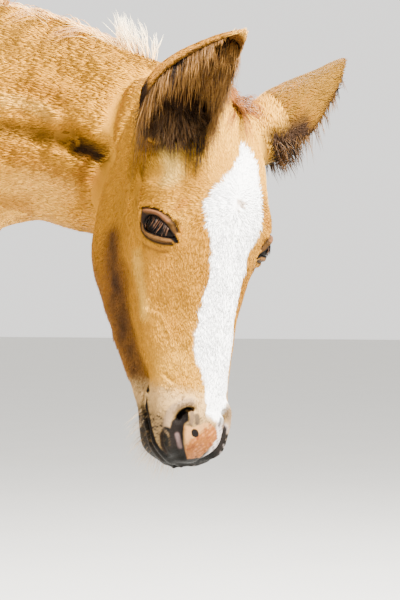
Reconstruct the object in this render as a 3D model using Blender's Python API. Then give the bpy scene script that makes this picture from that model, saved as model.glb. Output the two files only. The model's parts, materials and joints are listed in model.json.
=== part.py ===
"""A quarter horse foal standing with its neck lowered and its head hanging, at life size, in metres.

+X is the foal's front, +Y its left and +Z up, and its four soles stand on z = 0. The body is lofted
from a few sections, fused into one skin, modelled with strokes, and parted by thin plane cuts. The
mane, the forelock and the tail are flat tapered locks fused to the node that they grow from.
"""

import math
import random

import bmesh
import bpy
import numpy as np
from mathutils import Matrix, Vector

# Driving sizes
FINE = 0.003  # edge of the fused skin's quads before it is thinned
GAP = 0.0003  # clearance between two nodes that meet
AROUND = 40  # points round a section
ALONG = 60  # sections in a loft
RIGHT, LEFT = 1, -1

# Each trunk section: x, top z, bottom z, level of the widest part, half-width, top and bottom roundness
TRUNK = (
    (-0.470, 1.010, 0.900, 0.50, 0.030, 2.0, 2.0),
    (-0.445, 1.052, 0.850, 0.48, 0.074, 2.0, 2.0),
    (-0.380, 1.092, 0.790, 0.45, 0.112, 2.2, 2.0),
    (-0.300, 1.112, 0.760, 0.45, 0.130, 2.3, 2.0),
    (-0.200, 1.110, 0.735, 0.48, 0.132, 2.2, 2.0),
    (-0.100, 1.090, 0.702, 0.52, 0.127, 2.0, 2.1),
    (0.000, 1.074, 0.680, 0.55, 0.130, 1.9, 2.1),
    (0.100, 1.070, 0.668, 0.56, 0.130, 1.8, 2.1),
    (0.180, 1.082, 0.668, 0.56, 0.124, 1.6, 2.1),
    (0.250, 1.085, 0.678, 0.56, 0.117, 1.6, 2.1),
    (0.320, 1.060, 0.698, 0.58, 0.108, 1.8, 2.1),
    (0.380, 1.000, 0.730, 0.58, 0.094, 2.0, 2.1),
    (0.425, 0.900, 0.780, 0.55, 0.055, 2.0, 2.0),
)

# Each foreleg section: height, front x, back x, y of its middle, half-width, roundness
FORELEG_X = 0.275
FORELEG = (
    (0.900, 0.110, -0.110, 0.070, 0.030, 2.0),
    (0.840, 0.135, -0.120, 0.076, 0.044, 2.0),
    (0.780, 0.128, -0.110, 0.080, 0.050, 2.0),
    (0.730, 0.090, -0.098, 0.084, 0.048, 2.1),
    (0.680, 0.064, -0.074, 0.086, 0.043, 2.2),
    (0.620, 0.052, -0.052, 0.087, 0.039, 2.2),
    (0.550, 0.042, -0.040, 0.086, 0.034, 2.2),
    (0.480, 0.033, -0.032, 0.084, 0.029, 2.2),
    (0.435, 0.030, -0.028, 0.083, 0.029, 2.5),
    (0.400, 0.035, -0.030, 0.082, 0.034, 2.7),
    (0.372, 0.034, -0.033, 0.082, 0.033, 2.7),
    (0.345, 0.026, -0.031, 0.081, 0.026, 2.4),
    (0.310, 0.020, -0.027, 0.080, 0.0195, 2.2),
    (0.255, 0.018, -0.025, 0.080, 0.018, 2.2),
    (0.212, 0.019, -0.028, 0.080, 0.020, 2.2),
    (0.180, 0.025, -0.034, 0.080, 0.027, 2.3),
    (0.158, 0.027, -0.032, 0.080, 0.0255, 2.2),
    (0.130, 0.032, -0.016, 0.080, 0.0215, 2.2),
    (0.098, 0.046, 0.000, 0.080, 0.0225, 2.2),
    (0.066, 0.068, 0.004, 0.080, 0.030, 2.2),
    (0.030, 0.070, 0.006, 0.080, 0.028, 2.2),
)

HINDLEG_X = -0.370
HINDLEG = (
    (0.985, 0.130, -0.080, 0.066, 0.040, 2.0),
    (0.930, 0.185, -0.104, 0.075, 0.058, 2.0),
    (0.870, 0.205, -0.112, 0.080, 0.064, 2.0),
    (0.800, 0.203, -0.104, 0.084, 0.062, 2.1),
    (0.745, 0.190, -0.086, 0.088, 0.055, 2.1),
    (0.700, 0.158, -0.068, 0.090, 0.049, 2.1),
    (0.650, 0.118, -0.053, 0.090, 0.041, 2.1),
    (0.600, 0.078, -0.048, 0.089, 0.033, 2.1),
    (0.555, 0.040, -0.053, 0.087, 0.027, 2.0),
    (0.520, 0.015, -0.067, 0.086, 0.025, 2.0),
    (0.488, 0.000, -0.082, 0.085, 0.027, 2.1),
    (0.455, -0.006, -0.080, 0.084, 0.0305, 2.5),
    (0.425, -0.010, -0.070, 0.083, 0.028, 2.5),
    (0.385, -0.018, -0.062, 0.082, 0.022, 2.3),
    (0.330, -0.021, -0.060, 0.082, 0.0185, 2.2),
    (0.260, -0.021, -0.062, 0.082, 0.0185, 2.2),
    (0.215, -0.018, -0.066, 0.082, 0.021, 2.2),
    (0.185, -0.012, -0.073, 0.082, 0.027, 2.3),
    (0.162, -0.009, -0.069, 0.082, 0.0255, 2.2),
    (0.132, -0.002, -0.050, 0.082, 0.0215, 2.2),
    (0.100, 0.012, -0.032, 0.082, 0.022, 2.2),
    (0.068, 0.034, -0.026, 0.082, 0.029, 2.2),
    (0.030, 0.036, -0.024, 0.082, 0.027, 2.2),
)

# How far each hoof stands ahead of its leg's own place, in an easy stance
STRIDES = {
    ("fore", RIGHT): 0.045,
    ("fore", LEFT): -0.035,
    ("hind", RIGHT): -0.030,
    ("hind", LEFT): 0.055,
}

# The head's frame: u runs from the poll to the lips, v out of the forehead, w to the foal's right
POLL = Vector((0.770, -0.085, 0.955))
HEAD_TURN = math.radians(-30.0)
HEAD_NOD = math.radians(5.5)
HEAD_TILT = math.radians(-7.5)

# Each head section: u, top v, bottom v, then half-widths at the levels in HEAD_LEVELS
HEAD_LEVELS = (0.1, 0.3, 0.6, 0.9)
HEAD = (
    (-0.020, -0.022, -0.075, 0.014, 0.024, 0.024, 0.013),
    (0.000, 0.016, -0.100, 0.033, 0.052, 0.056, 0.038),
    (0.030, 0.046, -0.115, 0.044, 0.063, 0.064, 0.046),
    (0.070, 0.064, -0.126, 0.053, 0.072, 0.069, 0.050),
    (0.120, 0.068, -0.138, 0.062, 0.086, 0.073, 0.053),
    (0.165, 0.066, -0.146, 0.067, 0.094, 0.076, 0.055),
    (0.210, 0.059, -0.146, 0.055, 0.080, 0.072, 0.054),
    (0.260, 0.052, -0.129, 0.043, 0.065, 0.061, 0.047),
    (0.310, 0.046, -0.104, 0.035, 0.054, 0.051, 0.040),
    (0.350, 0.041, -0.084, 0.030, 0.046, 0.043, 0.033),
    (0.380, 0.037, -0.071, 0.029, 0.044, 0.040, 0.029),
    (0.408, 0.033, -0.066, 0.030, 0.046, 0.040, 0.028),
    (0.430, 0.022, -0.058, 0.026, 0.040, 0.034, 0.023),
    (0.443, 0.002, -0.037, 0.014, 0.021, 0.018, 0.013),
)

# Each neck section: top x and z, bottom x and z, y, half-width. The last two stand in the head's frame.
NECK = (
    (0.200, 1.068, 0.370, 0.700, 0.000, 0.098),
    (0.300, 1.088, 0.440, 0.776, 0.000, 0.086),
    (0.430, 1.087, 0.515, 0.798, -0.004, 0.071),
    (0.560, 1.054, 0.580, 0.784, -0.016, 0.060),
    (0.675, 1.002, 0.640, 0.776, -0.044, 0.055),
)
NECK_IN_HEAD = (
    (-0.012, -0.010, 0.168, -0.122, 0.056),
    (0.050, 0.020, 0.200, -0.090, 0.050),
)

# Eye
EYE_RADIUS = 0.0205
EYE_CENTRE = (0.186, 0.018, 0.0665)
EYE_LOOKS = (0.22, 0.46, 0.86)
EYE_SLIT = (0.50, 0.62, -0.60)
LID_WALL = 0.0040
SLIT_HALF_LENGTH = 0.0180
SLIT_HALF_HEIGHT = 0.0088

# Ear
EAR_LENGTH = 0.155
EAR_WALL = 0.0040
EAR_ROOTS = {RIGHT: (0.0555, 0.0235, 0.0640), LEFT: (0.0530, 0.0300, 0.0700)}
EAR_AXES = {RIGHT: (-0.413, 0.824, 0.383), LEFT: (-0.489, 0.331, 0.807)}
EAR_OPENINGS = {RIGHT: (0.234, 0.940, 0.240), LEFT: (0.871, -0.078, 0.482)}
EAR_BENDS = {RIGHT: (0.002, 0.015, -0.038), LEFT: (-0.028, -0.017, -0.031)}  # at the tip
# Share of the ear's length, radius, half of the angle that the cup wraps
EAR_PROFILE = (
    (0.00, 0.0365, 162.0),
    (0.12, 0.0425, 124.0),
    (0.30, 0.0420, 111.0),
    (0.50, 0.0348, 100.0),
    (0.70, 0.0241, 97.0),
    (0.86, 0.0147, 96.0),
    (0.95, 0.0077, 95.0),
    (1.00, 0.0030, 90.0),
)
EAR_STUB = ((-0.26, 0.024), (-0.10, 0.033), (0.04, 0.036), (0.14, 0.033), (0.22, 0.018))

# Hoof: heights of its horn, run between them, size at the top, and how far the sole spreads
HOOF_TOP_FRONT = 0.060
HOOF_TOP_BACK = 0.034
HOOF_RUN = 0.085
HOOF_TOE, HOOF_HEEL, HOOF_HALF_WIDTH = 0.036, 0.032, 0.0315
SPREAD_TOE, SPREAD_HEEL, SPREAD_SIDE = 0.014, 0.004, 0.006
HOOF_LEAN = 0.012
SOLE_EDGE = 0.985

# Hair: locks, reach along the neck, length, half-widths along a lock, thickness
MANE_COUNT = 27
MANE_RUN = (0.325, 0.700)
MANE_LENGTH = 0.062
MANE_WIDTHS, MANE_THICKNESS = (0.0120, 0.0150, 0.0150, 0.0100), 0.0032
FORELOCK_COUNT = 9
FORELOCK_LENGTH = 0.045
FORELOCK_WIDTHS, FORELOCK_THICKNESS = (0.0065, 0.0070, 0.0065, 0.0045), 0.0022
DOCK_RADII = (0.0255, 0.0240, 0.0210, 0.0110)
TAIL_ROWS, TAIL_COUNT = 4, 4
TAIL_LENGTH, TAIL_LENGTHENS = 0.150, 0.034
TAIL_SPREAD = (0.032, 0.044)
TAIL_WIDTHS, TAIL_THICKNESS = (0.0160, 0.0230, 0.0220, 0.0130), 0.0036

# Triangles left on each node after thinning
BUDGETS = {
    "head": 2700,
    "neck": 860,
    "torso": 1500,
    "foreleg_upper": 340,
    "foreleg_lower": 480,
    "hindleg_upper": 380,
    "hindleg_lower": 520,
}

COAT = ((0.610, 0.345, 0.130, 1.0), 0.75)
MANE = ((0.800, 0.640, 0.420, 1.0), 0.70)
HORN = ((0.300, 0.220, 0.150, 1.0), 0.45)
EYE = ((0.020, 0.012, 0.008, 1.0), 0.08)


def flow(knots, values, at):
    """Values at the places asked for, on a smooth curve through the knots."""
    knots = np.asarray(knots, float)
    values = np.asarray(values, float).reshape(len(knots), -1)
    slopes = np.gradient(values, knots, axis=0)
    at = np.clip(np.atleast_1d(at), knots[0], knots[-1])
    i = np.clip(np.searchsorted(knots, at) - 1, 0, len(knots) - 2)
    span = (knots[i + 1] - knots[i])[:, None]
    s = (at - knots[i])[:, None] / span
    return (
        (2 * s**3 - 3 * s**2 + 1) * values[i]
        + (s**3 - 2 * s**2 + s) * span * slopes[i]
        + (3 * s**2 - 2 * s**3) * values[i + 1]
        + (s**3 - s**2) * span * slopes[i + 1]
    )


def section(top, bottom, side, half_width, level, top_power, bottom_power):
    """A ring of points from a section's top and bottom, the level of its widest part and its roundness."""
    top, bottom, side = np.array(top), np.array(bottom), np.array(side)
    middle = top + (bottom - top) * level
    ring = []
    for i in range(AROUND):
        turn = 2 * math.pi * i / AROUND
        across, up = math.cos(turn), math.sin(turn)
        power = top_power if up >= 0 else bottom_power
        across = math.copysign(abs(across) ** (2 / power), across)
        rise = abs(up) ** (2 / power)
        reach = top - middle if up >= 0 else bottom - middle
        ring.append(middle + side * half_width * across + reach * rise)
    return ring


def loft(rings):
    """Points and faces of a closed form through rings, its two ends capped."""
    points = [p for ring in rings for p in ring]
    count = len(rings[0])
    faces = []
    for r in range(len(rings) - 1):
        for i in range(count):
            j = (i + 1) % count
            low, high = r * count, (r + 1) * count
            faces.append((low + i, low + j, high + j, high + i))
    faces.append(tuple(range(count))[::-1])
    faces.append(tuple(range(len(points) - count, len(points))))
    return points, faces


def mesh_object(name, points, faces):
    """An object of these faces, turned so that they all point outwards."""
    mesh = bpy.data.meshes.new(name)
    mesh.from_pydata([tuple(p) for p in points], [], faces)
    shaped = bmesh.new()
    shaped.from_mesh(mesh)
    bmesh.ops.recalc_face_normals(shaped, faces=shaped.faces)
    shaped.to_mesh(mesh)
    shaped.free()
    made = bpy.data.objects.new(name, mesh)
    bpy.context.scene.collection.objects.link(made)
    return made


def bake(obj):
    """Applies the object's modifiers."""
    bpy.context.view_layer.update()
    graph = bpy.context.evaluated_depsgraph_get()
    mesh = bpy.data.meshes.new_from_object(obj.evaluated_get(graph))
    obj.modifiers.clear()
    obj.data = mesh


def joined(name, forms):
    """One object of many closed forms, which still pass through each other."""
    points, faces = [], []
    for form_points, form_faces in forms:
        faces += [tuple(i + len(points) for i in face) for face in form_faces]
        points += list(form_points)
    return mesh_object(name, points, faces)


def head_matrix():
    """From the head's u, v, w to the foal's frame."""
    axes = Matrix(((0, 1, 0), (0, 0, -1), (-1, 0, 0))).to_4x4()
    nod = Matrix.Rotation(-HEAD_NOD, 4, "Y")
    tilt = Matrix.Rotation(HEAD_TILT, 4, "X")
    turn = Matrix.Rotation(HEAD_TURN, 4, "Z")
    return Matrix.Translation(POLL) @ turn @ tilt @ nod @ axes


HEAD_FRAME = head_matrix()


def on_head(u, v, w):
    """A point of the head's frame, in the foal's frame."""
    return HEAD_FRAME @ Vector((u, v, w))


def head_way(u, v, w):
    """A unit direction of the head's frame, in the foal's frame."""
    return (HEAD_FRAME.to_3x3() @ Vector((u, v, w))).normalized()


def head_sections(at):
    """Top v, bottom v and the half-widths of the head at the places asked for."""
    table = np.array(HEAD)
    return flow(table[:, 0], table[:, 1:], at)


def head_side(u, level):
    """v and half-width of the head's side at u, at a level from 0 at the forehead to 1 at the jaw."""
    top, bottom, *widths = head_sections(u)[0]
    fullness = [w / (2 * math.sqrt(t * (1 - t))) for w, t in zip(widths, HEAD_LEVELS)]
    knots = (0.0, *HEAD_LEVELS, 1.0)
    full = flow(knots, (fullness[0], *fullness, fullness[-1]), level)[0, 0]
    return top + (bottom - top) * level, full * 2 * math.sqrt(level * (1 - level))


def head_form():
    """The head's loft from the poll to the lips."""
    rings = []
    for u in np.linspace(HEAD[0][0], HEAD[-1][0], ALONG):
        half = []
        for i in range(AROUND // 2 + 1):
            level = (1 - math.cos(2 * math.pi * i / AROUND)) / 2
            half.append(head_side(u, level))
        ring = [on_head(u, v, w) for v, w in half]
        ring += [on_head(u, v, -w) for v, w in half[-2:0:-1]]
        rings.append(ring)
    return loft(rings)


def trunk_form():
    """The trunk's loft from the buttocks to the breast."""
    table = np.array(TRUNK)
    rings = []
    for x in np.linspace(table[0, 0], table[-1, 0], ALONG):
        top, bottom, level, width, top_power, bottom_power = flow(table[:, 0], table[:, 1:], x)[0]
        rings.append(
            section((x, 0, top), (x, 0, bottom), (0, 1, 0), width, level, top_power, bottom_power)
        )
    return loft(rings)


def neck_knots():
    """Top, bottom, side direction and half-width of each of the neck's sections."""
    knots = []
    for i, (top_x, top_z, low_x, low_z, y, width) in enumerate(NECK):
        turn = Matrix.Rotation(HEAD_TURN * (i / len(NECK)) ** 1.5, 3, "Z")
        side = turn @ Vector((0, -1, 0))
        knots.append((*(top_x, y, top_z), *(low_x, y, low_z), *side, width))
    for top_u, top_v, low_u, low_v, width in NECK_IN_HEAD:
        side = head_way(0, 0, 1)
        knots.append((*on_head(top_u, top_v, 0), *on_head(low_u, low_v, 0), *side, width))
    return np.array(knots)


def neck_section(place):
    """Top, bottom, side direction and half-width at a place from 0 at the withers to 1 in the head."""
    knots = neck_knots()
    row = flow(np.linspace(0, 1, len(knots)), knots, place)[0]
    return row[0:3], row[3:6], row[6:9], row[9]


def neck_form():
    """The neck's loft from the shoulders into the head."""
    rings = []
    for place in np.linspace(0, 1, ALONG):
        top, bottom, side, width = neck_section(place)
        rings.append(section(top, bottom, side, width, 0.58, 1.6, 2.0))
    return loft(rings)


def neck_point(place, level, side):
    """A point on the neck's side, at a level from 0 on the crest to 1 on the underline."""
    top, bottom, across, width = neck_section(place)
    out = 2 * math.sqrt(level * (1 - level))
    return Vector(top + (bottom - top) * level + across * width * out * side)


def leg_shift(pair, side, z):
    """How far the leg is carried ahead at a height, from nothing at the body to a whole stride at the hoof."""
    hang = 0.80 if pair == "fore" else 0.86
    return STRIDES[pair, side] * max(0.0, 1 - max(z, 0.0) / hang)


def leg_form(pair, side):
    """A leg's loft from inside the body to inside the hoof."""
    table = np.array(FORELEG if pair == "fore" else HINDLEG)[::-1]
    leg_x = FORELEG_X if pair == "fore" else HINDLEG_X
    rings = []
    for z in np.linspace(table[0, 0], table[-1, 0], ALONG * 2):
        front, back, y, width, power = flow(table[:, 0], table[:, 1:], z)[0]
        x = leg_x + leg_shift(pair, side, z)
        top, bottom = (x + front, -y * side, z), (x + back, -y * side, z)
        rings.append(section(top, bottom, (0, 1, 0), width, 0.5, power, power))
    return loft(rings)


def ball_form(centre, radius, rows=16):
    """A round form."""
    rings = []
    for i in range(1, rows):
        angle = math.pi * i / rows
        height, width = math.cos(angle) * radius, math.sin(angle) * radius
        rings.append(
            [
                centre + Vector((width * math.cos(t), width * math.sin(t), height))
                for t in np.linspace(0, 2 * math.pi, 2 * rows, endpoint=False)
            ]
        )
    return loft(rings)


def eye_centre(side):
    """The middle of an eyeball."""
    u, v, w = EYE_CENTRE
    return on_head(u, v, w * side)


def eye_axes(side):
    """The way an eye looks, the way of its slit towards the nose, and the way towards the upper lid."""
    looks = head_way(EYE_LOOKS[0], EYE_LOOKS[1], EYE_LOOKS[2] * side)
    slit = head_way(EYE_SLIT[0], EYE_SLIT[1], EYE_SLIT[2] * side)
    slit = (slit - looks * slit.dot(looks)).normalized()
    up = looks.cross(slit) * side
    return looks, slit, up


DOCK_ROOT = (Vector((-0.400, 0, 1.020)), Vector((-0.462, 0, 1.006)), Vector((-0.492, 0, 0.982)))
DOCK = (
    Vector((-0.492, 0, 0.982)),
    Vector((-0.508, 0, 0.958)),
    Vector((-0.523, 0, 0.910)),
    Vector((-0.530, 0, 0.850)),
)


def swell(skin, centre, reach, amount):
    """Pushes the skin out near a place, or in where the amount is negative."""
    points, normals = skin
    far = (points - np.array(centre)) / np.array(reach)
    fade = np.clip(1 - (far**2).sum(1), 0, 1) ** 2
    points += normals * (fade * amount)[:, None]


def path_distance(points, path):
    """The distance of each point from a path of straight runs."""
    path = np.array([tuple(p) for p in path])
    nearest = np.full(len(points), np.inf)
    for start, end in zip(path[:-1], path[1:]):
        run = end - start
        share = np.clip(((points - start) @ run) / (run @ run), 0, 1)
        gap = np.linalg.norm(points - start - share[:, None] * run, axis=1)
        nearest = np.minimum(nearest, gap)
    return nearest


def crease(skin, path, reach, amount, way=None):
    """Raises a ridge along a path, or sinks a groove where the amount is negative."""
    points, normals = skin
    fade = np.clip(1 - (path_distance(points, path) / reach) ** 2, 0, 1) ** 2
    push = normals if way is None else np.array(way)
    points += push * (fade * amount)[:, None]


def read_skin(obj):
    """The points of a mesh and the way that each faces."""
    count = len(obj.data.vertices)
    points, normals = np.empty(count * 3, np.float32), np.empty(count * 3, np.float32)
    obj.data.vertices.foreach_get("co", points)
    obj.data.vertices.foreach_get("normal", normals)
    return points.reshape(-1, 3).astype(float), normals.reshape(-1, 3).astype(float)


def write_skin(obj, skin):
    """Puts the points back."""
    obj.data.vertices.foreach_set("co", skin[0].astype(np.float32).ravel())
    obj.data.update()


# Body strokes: centre on the right side (x, distance from the midline, z), reach, amount
BODY_SWELLS = (
    ((0.395, 0.080, 0.830), (0.060, 0.060, 0.070), 0.012),  # point of the shoulder
    ((0.290, 0.110, 0.930), (0.075, 0.080, 0.120), 0.008),  # shoulder blade
    ((0.205, 0.118, 0.810), (0.075, 0.060, 0.080), 0.010),  # triceps
    ((0.130, 0.120, 0.800), (0.030, 0.060, 0.110), -0.007),  # hollow behind the arm
    ((0.185, 0.095, 0.735), (0.035, 0.045, 0.030), 0.008),  # point of the elbow
    ((0.425, 0.045, 0.790), (0.050, 0.040, 0.060), 0.012),  # breast muscle
    ((0.020, 0.130, 0.860), (0.160, 0.080, 0.140), 0.006),  # ribs
    ((-0.145, 0.125, 0.960), (0.060, 0.070, 0.090), -0.012),  # flank hollow
    ((-0.205, 0.120, 1.020), (0.045, 0.050, 0.040), 0.008),  # point of the hip
    ((-0.330, 0.120, 0.930), (0.110, 0.080, 0.120), 0.008),  # haunch
    ((-0.185, 0.120, 0.770), (0.050, 0.050, 0.055), 0.009),  # stifle
    ((-0.460, 0.060, 0.900), (0.060, 0.050, 0.080), 0.008),  # point of the buttock
    ((-0.170, 0.100, 0.700), (0.070, 0.080, 0.050), -0.006),  # fold of the flank
    ((0.300, 0.100, 0.640), (0.040, 0.050, 0.070), 0.004),  # forearm muscle
)
BODY_CREASES = (
    (((0.395, 0.110, 0.860), (0.320, 0.122, 0.960), (0.270, 0.100, 1.040)), 0.022, -0.004),
    (((0.165, 0.125, 0.900), (0.150, 0.120, 0.780)), 0.022, -0.004),
    (((-0.330, 0.130, 1.020), (-0.390, 0.125, 0.880), (-0.360, 0.125, 0.760)), 0.022, -0.005),
    (((-0.220, 0.130, 0.900), (-0.180, 0.125, 0.800)), 0.026, -0.004),
)
MIDLINE_CREASES = (
    (((0.440, 0.0, 0.860), (0.430, 0.0, 0.740)), 0.020, -0.010),  # between the breast muscles
    (((-0.240, 0.0, 1.115), (-0.420, 0.0, 1.070)), 0.022, -0.004),  # along the croup
    (((-0.480, 0.0, 0.960), (-0.480, 0.0, 0.780)), 0.034, -0.014),  # between the buttocks
)

# Leg strokes, beside the leg's middle: pair, height, ahead of the leg's x, out from its middle, reach, amount
LEG_SWELLS = (
    ("fore", 0.372, -0.036, 0.000, 0.018, 0.004),  # bone at the back of the knee
    ("fore", 0.182, 0.000, 0.026, 0.018, 0.003),  # outer side of the fetlock
    ("fore", 0.182, 0.000, -0.026, 0.018, 0.003),
    ("fore", 0.560, 0.010, 0.034, 0.045, 0.004),
    ("hind", 0.492, -0.084, 0.000, 0.022, 0.005),  # point of the hock
    ("hind", 0.445, -0.028, 0.030, 0.022, 0.003),
    ("hind", 0.445, -0.028, -0.030, 0.022, 0.003),
    ("hind", 0.185, -0.040, 0.026, 0.018, 0.003),
    ("hind", 0.185, -0.040, -0.026, 0.018, 0.003),
    ("hind", 0.640, 0.040, 0.038, 0.050, 0.005),  # gaskin muscle
)
# Grooves between bone and tendon: pair, from height, to height, ahead, out, reach, amount
LEG_GROOVES = (
    ("fore", 0.325, 0.215, -0.010, 0.019, 0.008, -0.0025),
    ("fore", 0.325, 0.215, -0.010, -0.019, 0.008, -0.0025),
    ("hind", 0.395, 0.220, -0.046, 0.019, 0.008, -0.0025),
    ("hind", 0.395, 0.220, -0.046, -0.019, 0.008, -0.0025),
    ("hind", 0.600, 0.515, -0.028, 0.026, 0.011, -0.005),
    ("hind", 0.600, 0.515, -0.028, -0.026, 0.011, -0.005),
)


def shape_body(skin):
    """Models the trunk's and legs' muscles, bones and hollows."""
    for side in (RIGHT, LEFT):
        for (x, y, z), reach, amount in BODY_SWELLS:
            swell(skin, (x, -y * side, z), reach, amount)
        for path, reach, amount in BODY_CREASES:
            crease(skin, [(x, -y * side, z) for x, y, z in path], reach, amount)
        for pair, z, ahead, out, reach, amount in LEG_SWELLS:
            swell(skin, leg_place(pair, side, z, ahead, out), (reach,) * 3, amount)
        for pair, high, low, ahead, out, reach, amount in LEG_GROOVES:
            ends = [leg_place(pair, side, z, ahead, out) for z in (high, low)]
            crease(skin, ends, reach, amount)
    for path, reach, amount in MIDLINE_CREASES:
        crease(skin, path, reach, amount)


def leg_place(pair, side, z, ahead, out):
    """A point beside a leg's middle."""
    table = np.array(FORELEG if pair == "fore" else HINDLEG)[::-1]
    y = flow(table[:, 0], table[:, 3], z)[0, 0]
    leg_x = FORELEG_X if pair == "fore" else HINDLEG_X
    return Vector((leg_x + ahead + leg_shift(pair, side, z), -(y + out) * side, z))


# Neck strokes: pairs of place and level, reach, amount
NECK_STROKES = (
    (((0.22, 0.62), (0.38, 0.55), (0.54, 0.535), (0.71, 0.575)), 0.022, -0.008),  # above the windpipe
    (((0.64, 0.56), (0.74, 0.58)), 0.024, -0.008),  # pit of the throat
    (((0.25, 0.36), (0.48, 0.36), (0.66, 0.40)), 0.036, 0.005),  # long muscle
    (((0.30, 0.72), (0.48, 0.72), (0.66, 0.74)), 0.030, 0.004),  # windpipe
    (((0.20, 0.12), (0.40, 0.12), (0.60, 0.12), (0.72, 0.12)), 0.030, 0.003),  # crest
    (((0.74, 0.60), (0.74, 0.70), (0.74, 0.82)), 0.020, -0.008),  # behind the jaw
)


def shape_neck(skin):
    """Models the groove along the neck, its long muscles and the bend behind the jaw."""
    for side in (RIGHT, LEFT):
        for places, reach, amount in NECK_STROKES:
            crease(skin, [neck_point(place, level, side) for place, level in places], reach, amount)


def side_path(side, *places):
    """Points on one side of the head, from pairs of u and level."""
    path = []
    for u, level in places:
        v, w = head_side(u, level)
        path.append(on_head(u, v, w * side))
    return path


# Strokes on one side of the muzzle: u, v, w
MOUTH = (
    (0.360, -0.035, 0.0400),
    (0.378, -0.036, 0.0400),
    (0.392, -0.033, 0.0395),
    (0.408, -0.027, 0.0370),
    (0.424, -0.023, 0.0310),
    (0.436, -0.022, 0.0210),
    (0.444, -0.023, 0.0100),
    (0.447, -0.024, 0.0000),
)
NOSTRIL_RIM = (
    (0.3776, 0.032, 0.0216),
    (0.3750, 0.029, 0.0286),
    (0.3790, 0.021, 0.0360),
    (0.3870, 0.010, 0.0398),
    (0.3970, 0.002, 0.0390),
    (0.4110, 0.000, 0.0380),
)
NOSTRIL_SLIT = ((0.385, 0.030, 0.024), (0.385, 0.025, 0.027), (0.389, 0.019, 0.034), (0.397, 0.018, 0.036))
NOSTRIL_HOLLOW = ((0.397, 0.018, 0.036), (0.410, 0.018, 0.035), (0.424, 0.014, 0.031))


def shape_head(skin):
    """Models the skull, cheeks, crests, nostrils, lips and chin."""
    for side in (RIGHT, LEFT):
        at = lambda u, v, w: on_head(u, v, w * side)
        swell(skin, at(0.166, 0.034, 0.080), (0.032,) * 3, 0.004)  # brow over the eye
        swell(skin, at(0.122, 0.024, 0.080), (0.022,) * 3, -0.006)  # hollow above the eye
        swell(skin, at(0.195, -0.080, 0.068), (0.060,) * 3, 0.005)  # cheek
        swell(skin, at(0.285, 0.018, 0.054), (0.038,) * 3, -0.004)  # hollow beside the nose
        crest = side_path(side, (0.205, 0.24), (0.221, 0.26), (0.243, 0.29), (0.262, 0.33), (0.283, 0.39))
        crease(skin, crest, 0.016, 0.0035)
        jaw = side_path(side, (0.225, 0.50), (0.253, 0.60), (0.275, 0.64), (0.322, 0.65), (0.352, 0.62))
        crease(skin, jaw, 0.017, -0.0045)
        crease(skin, side_path(side, (0.300, 0.86), (0.340, 0.86)), 0.016, 0.002)
        crease(skin, side_path(side, (0.215, 0.14), (0.260, 0.14), (0.320, 0.16)), 0.014, -0.002)
        orbit = [at(u, -0.006, w) for u, w in ((0.135, 0.089), (0.165, 0.091), (0.205, 0.084))]
        crease(skin, orbit, 0.012, -0.003)
        swell(skin, at(0.385, 0.010, 0.040), (0.030,) * 3, 0.003)  # nostril's flare
        inward = head_way(-0.30, -0.45, -0.84 * side)
        crease(skin, [at(*place) for place in NOSTRIL_RIM], 0.011, 0.0045)
        crease(skin, [at(*place) for place in NOSTRIL_SLIT], 0.0085, 0.013, inward)
        crease(skin, [at(*place) for place in NOSTRIL_HOLLOW], 0.012, 0.005, inward)
        lips = [at(*place) for place in MOUTH]
        crease(skin, lips, 0.013, 0.0030)
        crease(skin, lips, 0.0048, -0.0050)
        swell(skin, at(0.352, -0.036, 0.040), (0.014,) * 3, -0.0025)  # corner of the mouth
    swell(skin, on_head(0.425, -0.064, 0), (0.022, 0.030, 0.024), 0.005)  # chin
    swell(skin, on_head(0.372, -0.068, 0), (0.022, 0.030, 0.022), -0.005)  # chin groove
    throat = [on_head(u, head_sections(u)[0, 1], 0) for u in (0.17, 0.24, 0.30, 0.345)]
    crease(skin, throat, 0.020, -0.008)
    crease(skin, [on_head(0.385, 0.037, 0), on_head(0.445, 0.020, 0)], 0.010, -0.0015)


def whole_skin():
    """The fused body, with every stroke modelled in."""
    forms = [trunk_form(), neck_form(), head_form()]
    forms += [leg_form(pair, side) for pair in ("fore", "hind") for side in (RIGHT, LEFT)]
    for side in (RIGHT, LEFT):
        forms.append(ball_form(eye_centre(side), EYE_RADIUS + LID_WALL))
    forms.append(taper_form([*DOCK_ROOT, DOCK[1]], (0.040, 0.034, 0.026, 0.024)))
    skin = joined("skin", forms)
    remesh = skin.modifiers.new("fuse", "REMESH")
    remesh.mode = "VOXEL"
    remesh.voxel_size = FINE
    bake(skin)
    smooth = skin.modifiers.new("blend", "SMOOTH")
    smooth.factor, smooth.iterations = 0.5, 14
    bake(skin)
    for shape in (shape_body, shape_neck, shape_head):
        clay = read_skin(skin)
        shape(clay)
        write_skin(skin, clay)
    smooth = skin.modifiers.new("finish", "SMOOTH")
    smooth.factor, smooth.iterations = 0.5, 2
    bake(skin)
    return skin


def taper_form(path, radii):
    """A round tapering form along a path."""
    rings = []
    for i, centre in enumerate(path):
        ahead = path[min(i + 1, len(path) - 1)] - path[max(i - 1, 0)]
        turned = ahead.to_track_quat("Z", "Y")
        rings.append(
            [
                centre + turned @ Vector((radii[i] * math.cos(t), radii[i] * math.sin(t), 0))
                for t in np.linspace(0, 2 * math.pi, 20, endpoint=False)
            ]
        )
    return loft(rings)


def ear_axes(side):
    """The ear's long axis, the way its cup opens, and the way across."""
    u, v, w = EAR_AXES[side]
    axis = head_way(u, v, w * side)
    u, v, w = EAR_OPENINGS[side]
    opening = head_way(u, v, w * side)
    opening = (opening - axis * opening.dot(axis)).normalized()
    return axis, opening, axis.cross(opening)


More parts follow.
